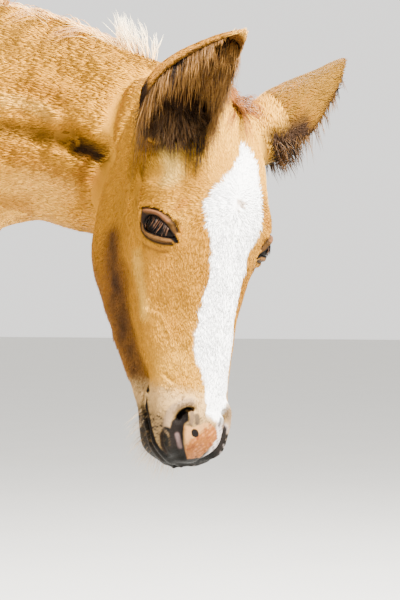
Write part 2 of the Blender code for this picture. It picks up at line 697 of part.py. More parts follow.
def ear_middle(side, share):
    """A point on the ear's bent axis."""
    u, v, w = EAR_ROOTS[side]
    root = on_head(u, v, w * side)
    u, v, w = EAR_BENDS[side]
    bend = HEAD_FRAME.to_3x3() @ Vector((u, v, w * side))
    return root + ear_axes(side)[0] * EAR_LENGTH * share + bend * share**2


def ear_stub(side):
    """The ear's solid root, from inside the head up to a share of its length."""
    return taper_form([ear_middle(side, share) for share, _ in EAR_STUB], [r for _, r in EAR_STUB])


def ear_form(side, rows=10, columns=11):
    """The ear's cup: a thick curled leaf, open along its front."""
    axis, opening, across = ear_axes(side)
    table = np.array(EAR_PROFILE)
    outer, inner = [], []
    for share in np.linspace(0, 1, rows):
        radius, wrap = flow(table[:, 0], table[:, 1:], share)[0]
        middle = ear_middle(side, share)
        wall = EAR_WALL * (1 - 0.5 * share)
        wall = min(wall, radius * 0.8)
        for turn in np.linspace(-wrap, wrap, columns):
            angle = math.radians(turn)
            out = across * math.sin(angle) - opening * math.cos(angle)
            outer.append(middle + out * radius)
            inner.append(middle + out * (radius - wall))
    points = outer + inner
    shift = len(outer)
    faces = []
    for r in range(rows - 1):
        for c in range(columns - 1):
            a = r * columns + c
            quad = (a, a + 1, a + columns + 1, a + columns)
            faces += [quad, tuple(i + shift for i in reversed(quad))]
    edge = list(range(columns))
    edge += [r * columns + columns - 1 for r in range(1, rows)]
    edge += [(rows - 1) * columns + c for c in range(columns - 2, -1, -1)]
    edge += [r * columns for r in range(rows - 2, 0, -1)]
    for a, b in zip(edge, edge[1:] + edge[:1]):
        faces.append((b, a, a + shift, b + shift))
    return points, faces


def lock_form(path, widths, flat, thickness):
    """A flat lock along a path, tapering to its tip, with its broad side across the given way."""
    rings = []
    for i, centre in enumerate(path[:-1]):
        ahead = (path[i + 1] - path[max(i - 1, 0)]).normalized()
        across = ahead.cross(flat).normalized()
        out = across.cross(ahead)
        thick = thickness * (0.35 + 0.65 * widths[i] / max(widths))
        rings.append(
            [
                centre + across * widths[i],
                centre + out * thick,
                centre - across * widths[i],
                centre - out * thick,
            ]
        )
    points = [p for ring in rings for p in ring] + [path[-1]]
    faces = [(3, 2, 1, 0)]
    for r in range(len(rings) - 1):
        for i in range(4):
            j = (i + 1) % 4
            faces.append((r * 4 + i, r * 4 + j, r * 4 + 4 + j, r * 4 + 4 + i))
    last, tip = (len(rings) - 1) * 4, len(points) - 1
    faces += [(last + i, last + (i + 1) % 4, tip) for i in range(4)]
    return points, faces


def fuse(node, forms, operation="UNION", solver="MANIFOLD"):
    """Joins closed forms to a node, or cuts them from it, in one Boolean."""
    tools = bpy.data.collections.new("tools")
    bpy.context.scene.collection.children.link(tools)
    for i, (points, faces) in enumerate(forms):
        tool = mesh_object(f"tool_{i}", points, faces)
        bpy.context.scene.collection.objects.unlink(tool)
        tools.objects.link(tool)
    change = node.modifiers.new("fuse", "BOOLEAN")
    change.operation = operation
    change.solver = solver
    change.operand_type = "COLLECTION"
    change.collection = tools
    bake(node)
    for tool in list(tools.objects):
        bpy.data.objects.remove(tool)
    bpy.data.collections.remove(tools)


def keep_largest(node):
    """Drops all but the largest closed surface, and makes every face a triangle."""
    shaped = bmesh.new()
    shaped.from_mesh(node.data)
    bmesh.ops.triangulate(shaped, faces=shaped.faces, ngon_method="EAR_CLIP")
    left = set(shaped.verts)
    islands = []
    while left:
        found, edge = set(), [left.pop()]
        while edge:
            vert = edge.pop()
            found.add(vert)
            for link in vert.link_edges:
                other = link.other_vert(vert)
                if other in left:
                    left.remove(other)
                    edge.append(other)
        islands.append(found)
    largest = max(islands, key=len)
    loose = [v for v in shaped.verts if v not in largest]
    bmesh.ops.delete(shaped, geom=loose, context="VERTS")
    shaped.to_mesh(node.data)
    shaped.free()


def thin(node, triangles):
    """Leaves about this many triangles, most of them where the node bends."""
    count = sum(len(face.vertices) - 2 for face in node.data.polygons)
    if count > triangles:
        decimate = node.modifiers.new("thin", "DECIMATE")
        decimate.ratio = triangles / count
        decimate.use_collapse_triangulate = True
        bake(node)


class Cut:
    """A plane that parts the skin near a place."""

    def __init__(self, place, normal, reach):
        self.place = Vector(place)
        self.normal = Vector(normal).normalized()
        self.reach = reach

    def part(self, shaped):
        """Splits the mesh along the plane and draws its two edges apart."""
        near = [f for f in shaped.faces if (f.calc_center_median() - self.place).length < self.reach]
        verts = {v for f in near for v in f.verts}
        edges = {e for f in near for e in f.edges}
        cut = bmesh.ops.bisect_plane(
            shaped,
            geom=[*near, *verts, *edges],
            plane_co=self.place,
            plane_no=self.normal,
            dist=1e-6,
        )
        rim = [e for e in cut["geom_cut"] if isinstance(e, bmesh.types.BMEdge)]
        split = bmesh.ops.split_edges(shaped, edges=rim)["edges"]
        for vert in {v for e in split for v in e.verts}:
            ahead = sum(
                (f.calc_center_median() - self.place).dot(self.normal) for f in vert.link_faces
            )
            vert.co += self.normal * math.copysign(GAP / 2, ahead)

    def clear(self, node):
        """Draws back whatever thinning has pushed past the plane."""
        far = node_middle(node)
        ahead = math.copysign(1.0, (far - self.place).dot(self.normal))
        for vert in node.data.vertices:
            offset = vert.co - self.place
            short = GAP / 2 - offset.dot(self.normal) * ahead
            if short > 0 and offset.length < self.reach:
                vert.co += self.normal * ahead * short


def node_middle(node):
    """The mean of a node's points."""
    points = read_skin(node)[0]
    return Vector(points.mean(0))


def hoof_slope():
    """The normal of the plane in which a hoof's horn begins."""
    return Vector((HOOF_TOP_BACK - HOOF_TOP_FRONT, 0, HOOF_RUN)).normalized()


def hoof_place(pair, side, z=0.05):
    """The middle of a leg's foot at a height."""
    table = np.array(FORELEG if pair == "fore" else HINDLEG)[::-1]
    front, back = flow(table[:, 0], table[:, 1:3], z)[0]
    return leg_place(pair, side, z, (front + back) / 2, 0)


def cuts():
    """Every plane that parts the body, by the nodes on its far side."""
    found = {}
    throat_top, throat_low = on_head(-0.014, -0.010, 0), on_head(0.185, -0.155, 0)
    throat = (throat_top + throat_low) / 2
    across = head_way(0, 0, 1)
    found["head"] = Cut(throat, across.cross(throat_low - throat_top), 0.17)
    top, bottom, side, _ = neck_section(0.30)
    slope = Vector(side).cross(Vector(bottom - top))
    found["neck"] = Cut((top + bottom) / 2, slope, 0.23)
    found["tail"] = Cut(DOCK[0], DOCK[1] - DOCK[0], 0.040)
    for name, pair, upper, lower in (("foreleg", "fore", 0.6535, 0.3535), ("hindleg", "hind", 0.690, 0.425)):
        for side, side_name in ((RIGHT, "right"), (LEFT, "left")):
            ahead = 0.0 if pair == "fore" else 0.045
            found[f"{name}_upper_{side_name}"] = Cut(
                leg_place(pair, side, upper, ahead, 0), (0, 0, 1), 0.145
            )
            ahead = 0.0 if pair == "fore" else -0.045
            found[f"{name}_lower_{side_name}"] = Cut(
                leg_place(pair, side, lower, ahead, 0), (0, 0, 1), 0.075
            )
            found[f"hoof_{pair}_{side_name}"] = Cut(
                hoof_place(pair, side), hoof_slope(), 0.075
            )
    return found


def probes():
    """A place on each part that the cuts leave, by its name."""
    found = {
        "head": on_head(0.25, 0.04, 0),
        "neck": Vector(neck_section(0.5)[0]),
        "torso": Vector((0, 0, 1.07)),
    }
    for side, side_name in ((RIGHT, "right"), (LEFT, "left")):
        found[f"foreleg_upper_{side_name}"] = leg_place("fore", side, 0.5, 0, 0)
        found[f"foreleg_lower_{side_name}"] = leg_place("fore", side, 0.25, 0, 0)
        found[f"hindleg_upper_{side_name}"] = leg_place("hind", side, 0.56, 0, 0)
        found[f"hindleg_lower_{side_name}"] = leg_place("hind", side, 0.3, -0.04, 0)
    return found


def parted(skin):
    """The body's nodes, parted by the cuts, thinned, and drawn back from every cut."""
    planes = cuts()
    shaped = bmesh.new()
    shaped.from_mesh(skin.data)
    for plane in planes.values():
        plane.part(shaped)
    bmesh.ops.holes_fill(shaped, edges=[e for e in shaped.edges if e.is_boundary], sides=0)
    bmesh.ops.triangulate(shaped, faces=[f for f in shaped.faces if len(f.verts) > 4])
    shaped.to_mesh(skin.data)
    shaped.free()
    bpy.ops.object.select_all(action="DESELECT")
    bpy.context.view_layer.objects.active = skin
    skin.select_set(True)
    bpy.ops.mesh.separate(type="LOOSE")
    pieces = list(bpy.context.selected_objects)
    nodes = {}
    clouds = {piece: read_skin(piece)[0] for piece in pieces}
    for name, place in probes().items():
        nearest = min(pieces, key=lambda p: np.linalg.norm(clouds[p] - np.array(place), axis=1).min())
        nodes[name] = nearest
    for piece in pieces:
        if piece not in nodes.values():
            bpy.data.objects.remove(piece)
    for name, node in nodes.items():
        node.name = name
        node.data.name = name
        budget = BUDGETS[name.replace("_right", "").replace("_left", "")]
        thin(node, budget)
        for plane in planes.values():
            plane.clear(node)
    return nodes


def hoof(pair, side, name):
    """A hoof: its horn slopes out from the coronet to a flat sole."""
    slope = hoof_slope()
    foot = hoof_place(pair, side)
    rings = []
    for share in (1.0, 0.94, 0.05, 0.0):
        ring = []
        for i in range(20):
            turn = 2 * math.pi * i / 20
            out, across = math.cos(turn), math.sin(turn)
            length, spread = (HOOF_TOE, SPREAD_TOE) if out > 0 else (HOOF_HEEL, SPREAD_HEEL)
            length += spread * (1 - share)
            width = HOOF_HALF_WIDTH + SPREAD_SIDE * (1 - share)
            blunt = SOLE_EDGE if share == 0 else 1.0
            ahead = out * length * blunt + HOOF_LEAN * (1 - share)
            top_z = foot.z - slope.x / slope.z * ahead - GAP / 2 / slope.z
            ring.append(Vector((foot.x + ahead, foot.y + across * width * blunt, top_z * share)))
        rings.append(ring)
    return mesh_object(name, *loft(rings))


def eyeball_form(side, radius):
    """A ball about an eye's middle, its poles at the two ends of the slit."""
    centre = eye_centre(side)
    looks, slit, up = eye_axes(side)
    points, faces = ball_form(Vector((0, 0, 0)), radius, 10)
    return [centre + looks * p.x + up * p.y + slit * p.z for p in points], faces


def slit_cutter(side):
    """The almond between the lids, reaching out from the eyeball."""
    centre = eye_centre(side)
    looks, slit, up = eye_axes(side)
    outline = []
    for i in range(24):
        turn = 2 * math.pi * i / 24
        along, rise = math.cos(turn), math.sin(turn)
        high = SLIT_HALF_HEIGHT * (1.0 if rise > 0 else 0.8)
        taper = 1 - 0.35 * abs(along) ** 3
        outline.append(slit * SLIT_HALF_LENGTH * along + up * high * rise * taper)
    ends = ((0.006, 1.0), (0.045, 1.15))
    return loft([[centre + looks * depth + p * wide for p in outline] for depth, wide in ends])


def open_eyes(head):
    """Cuts the sockets behind the lids, and the slits between them."""
    forms = []
    for side in (RIGHT, LEFT):
        forms.append(eyeball_form(side, EYE_RADIUS + GAP))
        forms.append(slit_cutter(side))
    fuse(head, forms, "DIFFERENCE")
    keep_largest(head)


def ear(side, name, grown_from):
    """An ear: its cup on a solid root that ends face to face with what it grows from."""
    node = mesh_object(name, *ear_form(side))
    fuse(node, [ear_stub(side)])
    for beside in grown_from:
        trim(node, beside)
    keep_largest(node)
    return node


def trim(node, beside):
    """Cuts a node back to a gap from another that it grows from."""
    points, normals = read_skin(beside)
    points = points + normals * GAP * 1.6
    faces = [tuple(face.vertices) for face in beside.data.polygons]
    fuse(node, [(points, faces)], "DIFFERENCE")


def crest_place(place, across):
    """A point on the crest and the way straight up from it, a little to one side of its line."""
    top, bottom, side, _ = neck_section(place)
    rise = Vector(top - bottom).normalized()
    return Vector(top) + Vector(side) * across, rise, Vector(side)


def mane_forms():
    """The mane's short locks, in two staggered rows that stand, lean apart and bend over."""
    draw = random.Random(7)
    forms = []
    for i in range(MANE_COUNT):
        share = i / (MANE_COUNT - 1)
        place = MANE_RUN[0] + (MANE_RUN[1] - MANE_RUN[0]) * share
        lean = 1 if i % 2 else -1
        root, rise, side = crest_place(place, 0.006 * lean)
        after = crest_place(place + 0.02, 0.006 * lean)[0]
        ahead = (after - root).normalized()
        length = MANE_LENGTH * draw.uniform(0.8, 1.2) * (0.75 + 0.25 * math.sin(math.pi * share))
        sway = side * lean * draw.uniform(0.3, 1.0)
        pull = ahead * draw.uniform(-0.5, 0.35)
        path = [
            root - rise * 0.012,
            root + rise * 0.003 + sway * 0.002,
            root + (rise + sway * 0.30 + pull * 0.3) * length * 0.42,
            root + (rise * 0.95 + sway * 0.70 + pull * 0.7) * length * 0.72,
            root + (rise * 0.80 + sway * 1.15 + pull * 1.2) * length,
        ]
        forms.append(lock_form(path, MANE_WIDTHS, side, MANE_THICKNESS))
    return forms


def forelock_forms():
    """The forelock's thin curled locks between the ears."""
    draw = random.Random(11)
    forms = []
    for i in range(FORELOCK_COUNT):
        w = 0.009 * (2 * i / (FORELOCK_COUNT - 1) - 1)
        u = 0.010 + 0.012 * draw.random()
        v = head_sections(u)[0, 0] - 0.0015
        root = on_head(u, v, w)
        rise = head_way(-0.62, 0.78, w * 4)
        side = head_way(0, 0, 1)
        down = head_way(1, 0.1, 0)
        length = FORELOCK_LENGTH * draw.uniform(0.75, 1.15)
        path = [
            root - rise * 0.010,
            root + rise * 0.004,
            root + rise * length * 0.42 + down * length * 0.08,
            root + rise * length * 0.66 + down * length * 0.34,
            root + rise * length * 0.74 + down * length * 0.66,
        ]
        forms.append(lock_form(path, FORELOCK_WIDTHS, side, FORELOCK_THICKNESS))
    return forms


def tail_node():
    """The tail: its dock, and hair in flat locks that hang, overlap and curl at their ends."""
    draw = random.Random(23)
    run = (DOCK[1] - DOCK[0]).normalized()
    path = [DOCK[0] + run * GAP / 2, *DOCK[1:]]
    node = mesh_object("tail", *taper_form(path, DOCK_RADII))
    knots = np.linspace(0, 1, len(path))
    forms = []
    for row in range(TAIL_ROWS):
        share = 0.24 + 0.66 * row / (TAIL_ROWS - 1)
        spot = flow(knots, [tuple(p) for p in path], share)[0]
        radius = flow(knots, DOCK_RADII, share)[0, 0]
        for i in range(TAIL_COUNT):
            turn = math.radians(125) * (2 * (i + 0.5 * (row % 2)) / TAIL_COUNT - 1)
            out = Vector((-math.cos(turn), math.sin(turn), 0))
            root = Vector(spot) + out * (radius - 0.007)
            length = (TAIL_LENGTH + TAIL_LENGTHENS * row) * draw.uniform(0.85, 1.12)
            spread = draw.uniform(*TAIL_SPREAD) * (0.35 if out.x > 0 else 1.0)
            curl = Vector((draw.uniform(-1, -0.1), draw.uniform(-1, 1), 0)) * 0.012
            back = Vector((-0.016, 0, 0))
            fall = Vector((0, 0, -1))
            run = [
                root - out * 0.004,
                root + out * 0.006 + fall * 0.014,
                root + out * spread * 0.75 + fall * length * 0.42 + back * 0.4,
                root + out * spread * 0.80 + fall * length * 0.74 + back,
                root + out * spread * 0.45 + fall * length + back + curl,
            ]
            forms.append(lock_form(run, TAIL_WIDTHS, out, TAIL_THICKNESS))
    fuse(node, forms)
    keep_largest(node)
    return node


def material(name, look):
    """A plain finish of one colour."""
    made = bpy.data.materials.new(name)
    made.use_nodes = True
    colour, roughness = look
    shader = made.node_tree.nodes["Principled BSDF"]
    shader.inputs["Base Color"].default_value = colour
    shader.inputs["Roughness"].default_value = roughness
    made.diffuse_color = colour
    return made


def dress(node, finish):
    """Gives a node its finish and smooth shading."""
    node.data.materials.clear()
    node.data.materials.append(finish)
    node.data.shade_smooth()
    node.data.set_sharp_from_angle(angle=math.radians(50))


def centre_on_ground(nodes):
    """Moves the foal so that its box stands centred on the origin."""
    low, high = np.full(3, np.inf), np.full(3, -np.inf)
    for node in nodes:
        points = read_skin(node)[0]
        low, high = np.minimum(low, points.min(0)), np.maximum(high, points.max(0))
    shift = Vector((-(low[0] + high[0]) / 2, -(low[1] + high[1]) / 2, -low[2]))
    for node in nodes:
        node.data.transform(Matrix.Translation(shift))


def main():
    """Builds every node of the foal."""
    for old in list(bpy.data.objects):
        bpy.data.objects.remove(old)
    nodes = parted(whole_skin())
    coat, mane = material("coat", COAT), material("mane", MANE)
    horn, eye = material("horn", HORN), material("eye", EYE)
    fuse(nodes["head"], forelock_forms())
    for side, side_name in ((RIGHT, "right"), (LEFT, "left")):
        name = f"ear_{side_name}"
        nodes[name] = ear(side, name, (nodes["head"], nodes["neck"]))
    open_eyes(nodes["head"])
    fuse(nodes["neck"], mane_forms())
    nodes["tail"] = tail_node()
    for node in nodes.values():
        keep_largest(node)
        dress(node, mane if node.name == "tail" else coat)
    for side, side_name in ((RIGHT, "right"), (LEFT, "left")):
        name = f"eye_{side_name}"
        nodes[name] = mesh_object(name, *eyeball_form(side, EYE_RADIUS))
        dress(nodes[name], eye)
        for pair in ("fore", "hind"):
            name = f"hoof_{pair}_{side_name}"
            nodes[name] = hoof(pair, side, name)
            dress(nodes[name], horn)
    centre_on_ground(nodes.values())


main()
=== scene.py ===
"""Dresses the standing quarter horse foal: skin, coat, mane, tail, eyes, hooves, light and camera."""

import json
import logging
import math
from collections.abc import Iterable
from dataclasses import dataclass, field
from enum import Enum

import bmesh
import bpy
import numpy as np
from mathutils import Matrix, Vector

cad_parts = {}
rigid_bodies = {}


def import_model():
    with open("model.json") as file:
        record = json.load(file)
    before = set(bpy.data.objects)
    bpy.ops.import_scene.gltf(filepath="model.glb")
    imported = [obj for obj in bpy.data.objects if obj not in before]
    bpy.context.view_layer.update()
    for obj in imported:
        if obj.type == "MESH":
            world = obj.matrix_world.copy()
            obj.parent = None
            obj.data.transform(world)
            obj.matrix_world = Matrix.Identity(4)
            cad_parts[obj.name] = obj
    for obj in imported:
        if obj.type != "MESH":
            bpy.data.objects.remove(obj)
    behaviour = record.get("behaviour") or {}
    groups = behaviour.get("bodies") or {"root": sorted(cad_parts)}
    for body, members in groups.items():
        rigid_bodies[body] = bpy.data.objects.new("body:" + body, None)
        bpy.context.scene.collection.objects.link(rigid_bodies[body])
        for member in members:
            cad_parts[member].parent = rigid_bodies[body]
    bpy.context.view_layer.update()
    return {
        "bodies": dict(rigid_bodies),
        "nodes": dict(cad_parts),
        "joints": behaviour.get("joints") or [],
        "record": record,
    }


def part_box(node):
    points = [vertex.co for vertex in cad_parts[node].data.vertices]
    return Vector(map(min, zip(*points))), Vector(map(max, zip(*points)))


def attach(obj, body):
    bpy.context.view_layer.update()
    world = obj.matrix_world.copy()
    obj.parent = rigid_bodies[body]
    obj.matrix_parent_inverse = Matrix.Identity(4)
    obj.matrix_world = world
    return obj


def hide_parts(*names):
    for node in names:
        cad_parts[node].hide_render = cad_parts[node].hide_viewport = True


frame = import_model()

LOG = logging.getLogger("foal")
Table = tuple[tuple[float, ...], ...]
FLESH = ["head", "neck", "torso", "ear_left", "ear_right"] + [
    f"{pair}leg_{part}_{side}" for pair in ("fore", "hind") for part in ("upper", "lower")
    for side in ("left", "right")
]


class Side(Enum):
    """The foal's own two sides."""

    RIGHT = 1
    LEFT = -1

    @property
    def word(self) -> str:
        """The side's name, as the nodes spell it."""
        return self.name.lower()


class Pair(Enum):
    """The two pairs of legs."""

    FORE = "fore"
    HIND = "hind"


class Region(Enum):
    """The parts of the skin that differ in coat."""

    TRUNK = 0
    NECK = 1
    HEAD = 2
    LEG = 3
    EAR = 4


def srgb(red: int, green: int, blue: int) -> np.ndarray:
    """A colour of 0 to 255 as the shader's linear numbers."""
    share = np.array([red, green, blue]) / 255
    return np.where(share < 0.04045, share / 12.92, ((share + 0.055) / 1.055) ** 2.4)


def mixed(first: tuple[int, int, int], second: tuple[int, int, int], share: np.ndarray) -> np.ndarray:
    """Colours between two, one row for each share of the second."""
    return srgb(*first) * (1 - share) + srgb(*second) * share


def smooth_step(value: np.ndarray, low: float, high: float) -> np.ndarray:
    """Rises smoothly from 0 at low to 1 at high."""
    share = np.clip((value - low) / (high - low), 0, 1)
    return share * share * (3 - 2 * share)


def flow(knots: np.ndarray, values: np.ndarray, at: np.ndarray) -> np.ndarray:
    """Values on a smooth curve through knots.

    Args:
        knots: rising places where the values are known.
        values: one row of values for each knot.
        at: places asked for.

    Returns:
        One row of values for each place asked for.
    """
    knots = np.asarray(knots, float)
    values = np.asarray(values, float).reshape(len(knots), -1)
    slopes = np.gradient(values, knots, axis=0)
    at = np.clip(np.atleast_1d(at), knots[0], knots[-1])
    i = np.clip(np.searchsorted(knots, at) - 1, 0, len(knots) - 2)
    span = (knots[i + 1] - knots[i])[:, None]
    s = (at - knots[i])[:, None] / span
    return (
        (2 * s**3 - 3 * s**2 + 1) * values[i] + (s**3 - 2 * s**2 + s) * span * slopes[i]
        + (3 * s**2 - 2 * s**3) * values[i + 1] + (s**3 - s**2) * span * slopes[i + 1]
    )


def ripple(points: np.ndarray, size: float, seed: int = 0) -> np.ndarray:
    """A smooth waver between -1 and 1 over space.

    Args:
        points: places, one to a row.
        size: length of a wave.
        seed: picks the waves' directions.

    Returns:
        One number for each place.
    """
    draw = np.random.default_rng(seed)
    total = np.zeros(len(points))
    for _ in range(5):
        way = draw.normal(size=3)
        way /= np.linalg.norm(way)
        pitch = 2 * math.pi / (size * draw.uniform(0.6, 1.6))
        total += np.sin(points @ way * pitch + draw.uniform(0, 6.28))
    return total / 3


def unit(rows: np.ndarray) -> np.ndarray:
    """Each row at length one."""
    return rows / np.maximum(np.linalg.norm(rows, axis=-1, keepdims=True), 1e-12)


def as_rows(places: Iterable[Vector]) -> np.ndarray:
    """Places as an array, one to a row."""
    return np.array([tuple(place) for place in places])


def from_path(spots: np.ndarray, ends: np.ndarray) -> np.ndarray:
    """Each spot's distance from the straight runs between a path's ends."""
    nearest = np.full(len(spots), np.inf)
    for start, end in zip(ends[:-1], ends[1:]):
        run = end - start
        share = np.clip(((spots - start) @ run) / max(run @ run, 1e-12), 0, 1)
        nearest = np.minimum(nearest, np.linalg.norm(spots - start - share[:, None] * run, axis=1))
    return nearest


def near_path(points: np.ndarray, path: list[Vector], reach: float) -> tuple[np.ndarray, np.ndarray]:
    """Which of the points are in a box round a path, and their distances from it."""
    ends = as_rows(path)
    low, high = ends.min(0) - reach, ends.max(0) + reach
    near = np.flatnonzero(((points > low) & (points < high)).all(1))
    return near, from_path(points[near], ends)


def tenths(*rows: tuple[int, ...]) -> Table:
    """Places given in tenths of a millimetre, in metres."""
    return tuple(tuple(value / 10000 for value in row) for row in rows)


def section(
    top: np.ndarray, bottom: np.ndarray, side: np.ndarray, half_width: float, level: float,
    top_power: float, bottom_power: float, around: int = 56,
) -> np.ndarray:
    """A ring through a body.

    Args:
        top: the ring's highest point.
        bottom: its lowest point.
        side: unit direction towards one side.
        half_width: half of the ring's width.
        level: share of the way down at which it is widest.
        top_power: roundness above that level.
        bottom_power: roundness below it.
        around: number of points.

    Returns:
        The ring's points, one to a row.
    """
    top, bottom, side = np.array(top, float), np.array(bottom, float), np.array(side, float)
    middle = top + (bottom - top) * level
    turn = 2 * np.pi * np.arange(around) / around
    across, up = np.cos(turn), np.sin(turn)
    power = np.where(up >= 0, top_power, bottom_power)
    across = np.sign(across) * np.abs(across) ** (2 / power)
    rise = (np.abs(up) ** (2 / power))[:, None]
    reach = np.where((up >= 0)[:, None], top - middle, bottom - middle)
    return middle + side * (half_width * across)[:, None] + reach * rise


def unwrap(points: np.ndarray) -> np.ndarray:
    """Each place on the skin, unwrapped round the middle of its patch."""
    centre, spread = points.mean(0), np.ptp(points, axis=0)
    axis = int(np.argmax(spread))
    one, two = (i for i in range(3) if i != axis)
    turn = np.arctan2(points[:, one] - centre[one], points[:, two] - centre[two])
    along = (points[:, axis] - points[:, axis].min()) / max(spread[axis], 1e-6)
    return np.stack([0.02 + 0.96 * (turn / (2 * np.pi) + 0.5), 0.02 + 0.96 * along], 1)


@dataclass
class Solid:
    """Points and faces of a closed form."""

    points: np.ndarray
    faces: list[tuple[int, ...]]

    @classmethod
    def loft(cls, rings: list[np.ndarray]) -> "Solid":
        """A form through rings of equal count, capped at both ends."""
        count = len(rings[0])
        faces = []
        for r in range(len(rings) - 1):
            low, high = r * count, (r + 1) * count
            for i in range(count):
                j = (i + 1) % count
                faces.append((low + i, low + j, high + j, high + i))
        last = (len(rings) - 1) * count
        faces.append(tuple(reversed(range(count))))
        faces.append(tuple(range(last, last + count)))
        return cls(np.vstack(rings), faces)

    @classmethod
    def taper(cls, path: list[Vector], radii: tuple[float, ...], around: int = 28) -> "Solid":
        """A round form along a path."""
        rings = []
        for i, centre in enumerate(path):
            ahead = path[min(i + 1, len(path) - 1)] - path[max(i - 1, 0)]
            turned = np.array(ahead.to_track_quat("Z", "Y").to_matrix())
            turn = np.linspace(0, 2 * math.pi, around, endpoint=False)
            ring = np.stack([np.cos(turn), np.sin(turn), np.zeros(around)], 1) * radii[i]
            rings.append(np.array(centre) + ring @ turned.T)
        return cls.loft(rings)

    @classmethod
    def ball(cls, centre: Vector, radius: float, rows: int = 24) -> "Solid":
        """A round ball."""
        rings = []
        for i in range(1, rows):
            angle = math.pi * i / rows
            turn = np.linspace(0, 2 * math.pi, 2 * rows, endpoint=False)
            ring = np.stack(
                [
                    np.cos(turn) * math.sin(angle), np.sin(turn) * math.sin(angle),
                    np.full(2 * rows, math.cos(angle)),
                ],
                1,
            )
            rings.append(np.array(centre) + ring * radius)
        return cls.loft(rings)


class Bench:
    """Makes, fuses and finishes mesh objects."""

    @staticmethod
    def clear() -> None:
        """Leaves nothing selected."""
        bpy.ops.object.select_all(action="DESELECT")

    @staticmethod
    def pick(piece: bpy.types.Object) -> None:
        """Makes a piece the only one selected, and active."""
        bpy.ops.object.select_all(action="DESELECT")
        piece.select_set(True)
        bpy.context.view_layer.objects.active = piece

    @staticmethod
    def piece(name: str, solids: list[Solid]) -> bpy.types.Object:
        """One object of closed forms, all facing outwards.

        Args:
            name: the object's name.
            solids: forms, which may pass through each other.

        Returns:
            The new object.
        """
        points, faces, start = [], [], 0
        for solid in solids:
            points.append(solid.points)
            faces += [tuple(i + start for i in face) for face in solid.faces]
            start += len(solid.points)
        mesh = bpy.data.meshes.new(name)
        mesh.from_pydata(np.vstack(points).tolist(), [], faces)
        shaped = bmesh.new()
        shaped.from_mesh(mesh)
        bmesh.ops.recalc_face_normals(shaped, faces=shaped.faces)
        shaped.to_mesh(mesh)
        shaped.free()
        made = bpy.data.objects.new(name, mesh)
        bpy.context.scene.collection.objects.link(made)
        return made

    @staticmethod
    def triangles(name: str, points: np.ndarray, corners: np.ndarray) -> bpy.types.Object:
        """An object straight from arrays of points and triangles."""
        mesh = bpy.data.meshes.new(name)
        count = len(corners)
        mesh.vertices.add(len(points))
        mesh.vertices.foreach_set("co", points.astype(np.float32).ravel())
        mesh.loops.add(count * 3)
        mesh.loops.foreach_set("vertex_index", corners.astype(np.int32).ravel())
        mesh.polygons.add(count)
        mesh.polygons.foreach_set("loop_start", np.arange(0, count * 3, 3, dtype=np.int32))
        mesh.update(calc_edges=True)
        made = bpy.data.objects.new(name, mesh)
        bpy.context.scene.collection.objects.link(made)
        return made

    @staticmethod
    def apply(piece: bpy.types.Object, kind: str, **settings: object) -> None:
        """Adds a modifier with settings and applies it."""
        Bench.pick(piece)
        change = piece.modifiers.new(kind.lower(), kind)
        for key, value in settings.items():
            setattr(change, key, value)
        bpy.ops.object.modifier_apply(modifier=change.name)

    @staticmethod
    def merge(piece: bpy.types.Object, solids: list[Solid], operation: str) -> None:
        """Joins forms to a piece, or cuts them from it, in one Boolean."""
        tools = bpy.data.collections.new("tools")
        bpy.context.scene.collection.children.link(tools)
        for i, solid in enumerate(solids):
            tool = Bench.piece(f"tool_{i}", [solid])
            bpy.context.scene.collection.objects.unlink(tool)
            tools.objects.link(tool)
        Bench.apply(
            piece, "BOOLEAN", operation=operation, solver="MANIFOLD", operand_type="COLLECTION",
            collection=tools,
        )
        for tool in list(tools.objects):
            bpy.data.objects.remove(tool)
        bpy.data.collections.remove(tools)

    @staticmethod
    def read(piece: bpy.types.Object) -> tuple[np.ndarray, np.ndarray]:
        """The points of a mesh and the way that each faces."""
        count = len(piece.data.vertices)
        points, normals = np.empty(count * 3, np.float32), np.empty(count * 3, np.float32)
        piece.data.vertices.foreach_get("co", points)
        piece.data.vertices.foreach_get("normal", normals)
        return points.reshape(-1, 3).astype(float), normals.reshape(-1, 3).astype(float)

    @staticmethod
    def write(piece: bpy.types.Object, points: np.ndarray) -> None:
        """Puts a mesh's points back."""
        piece.data.vertices.foreach_set("co", points.astype(np.float32).ravel())
        piece.data.update()

    @staticmethod
    def tint(piece: bpy.types.Object, colours: np.ndarray, name: str = "tint") -> None:
        """Stores a colour, or any three numbers, for each point."""
        layer = piece.data.attributes.new(name, "FLOAT_COLOR", "POINT")
        rows = np.ones((len(colours), 4), np.float32)
        rows[:, :3] = colours
        layer.data.foreach_set("color", rows.ravel())

    @staticmethod
    def weigh(piece: bpy.types.Object, name: str, values: np.ndarray) -> None:
        """Stores one number for each point."""
        layer = piece.data.attributes.new(name, "FLOAT", "POINT")
        layer.data.foreach_set("value", values.astype(np.float32))

    @staticmethod
    def chart(piece: bpy.types.Object, spots: np.ndarray, corners: np.ndarray) -> None:
        """Stores the coat's own unwrap, a place for each point."""
        layer = piece.data.uv_layers.new(name="OFBake")
        layer.data.foreach_set("uv", spots[corners.ravel()].astype(np.float32).ravel())

    @staticmethod
    def hand_over(piece: bpy.types.Object, finish: bpy.types.Material, slot: str, *nodes: str) -> None:
        """Dresses a piece, sets it on the body and hides the nodes that it stands for.

        Args:
            piece: the finished piece.
            finish: its material.
            slot: the record's slot for it; not used.
            nodes: solids that it replaces.
        """
        piece.data.materials.clear()
        piece.data.materials.append(finish)
        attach(piece, "root")
        if nodes:
            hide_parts(*nodes)
        count = sum(len(face.vertices) - 2 for face in piece.data.polygons)
        LOG.info("%s: %d triangles", piece.name, count)


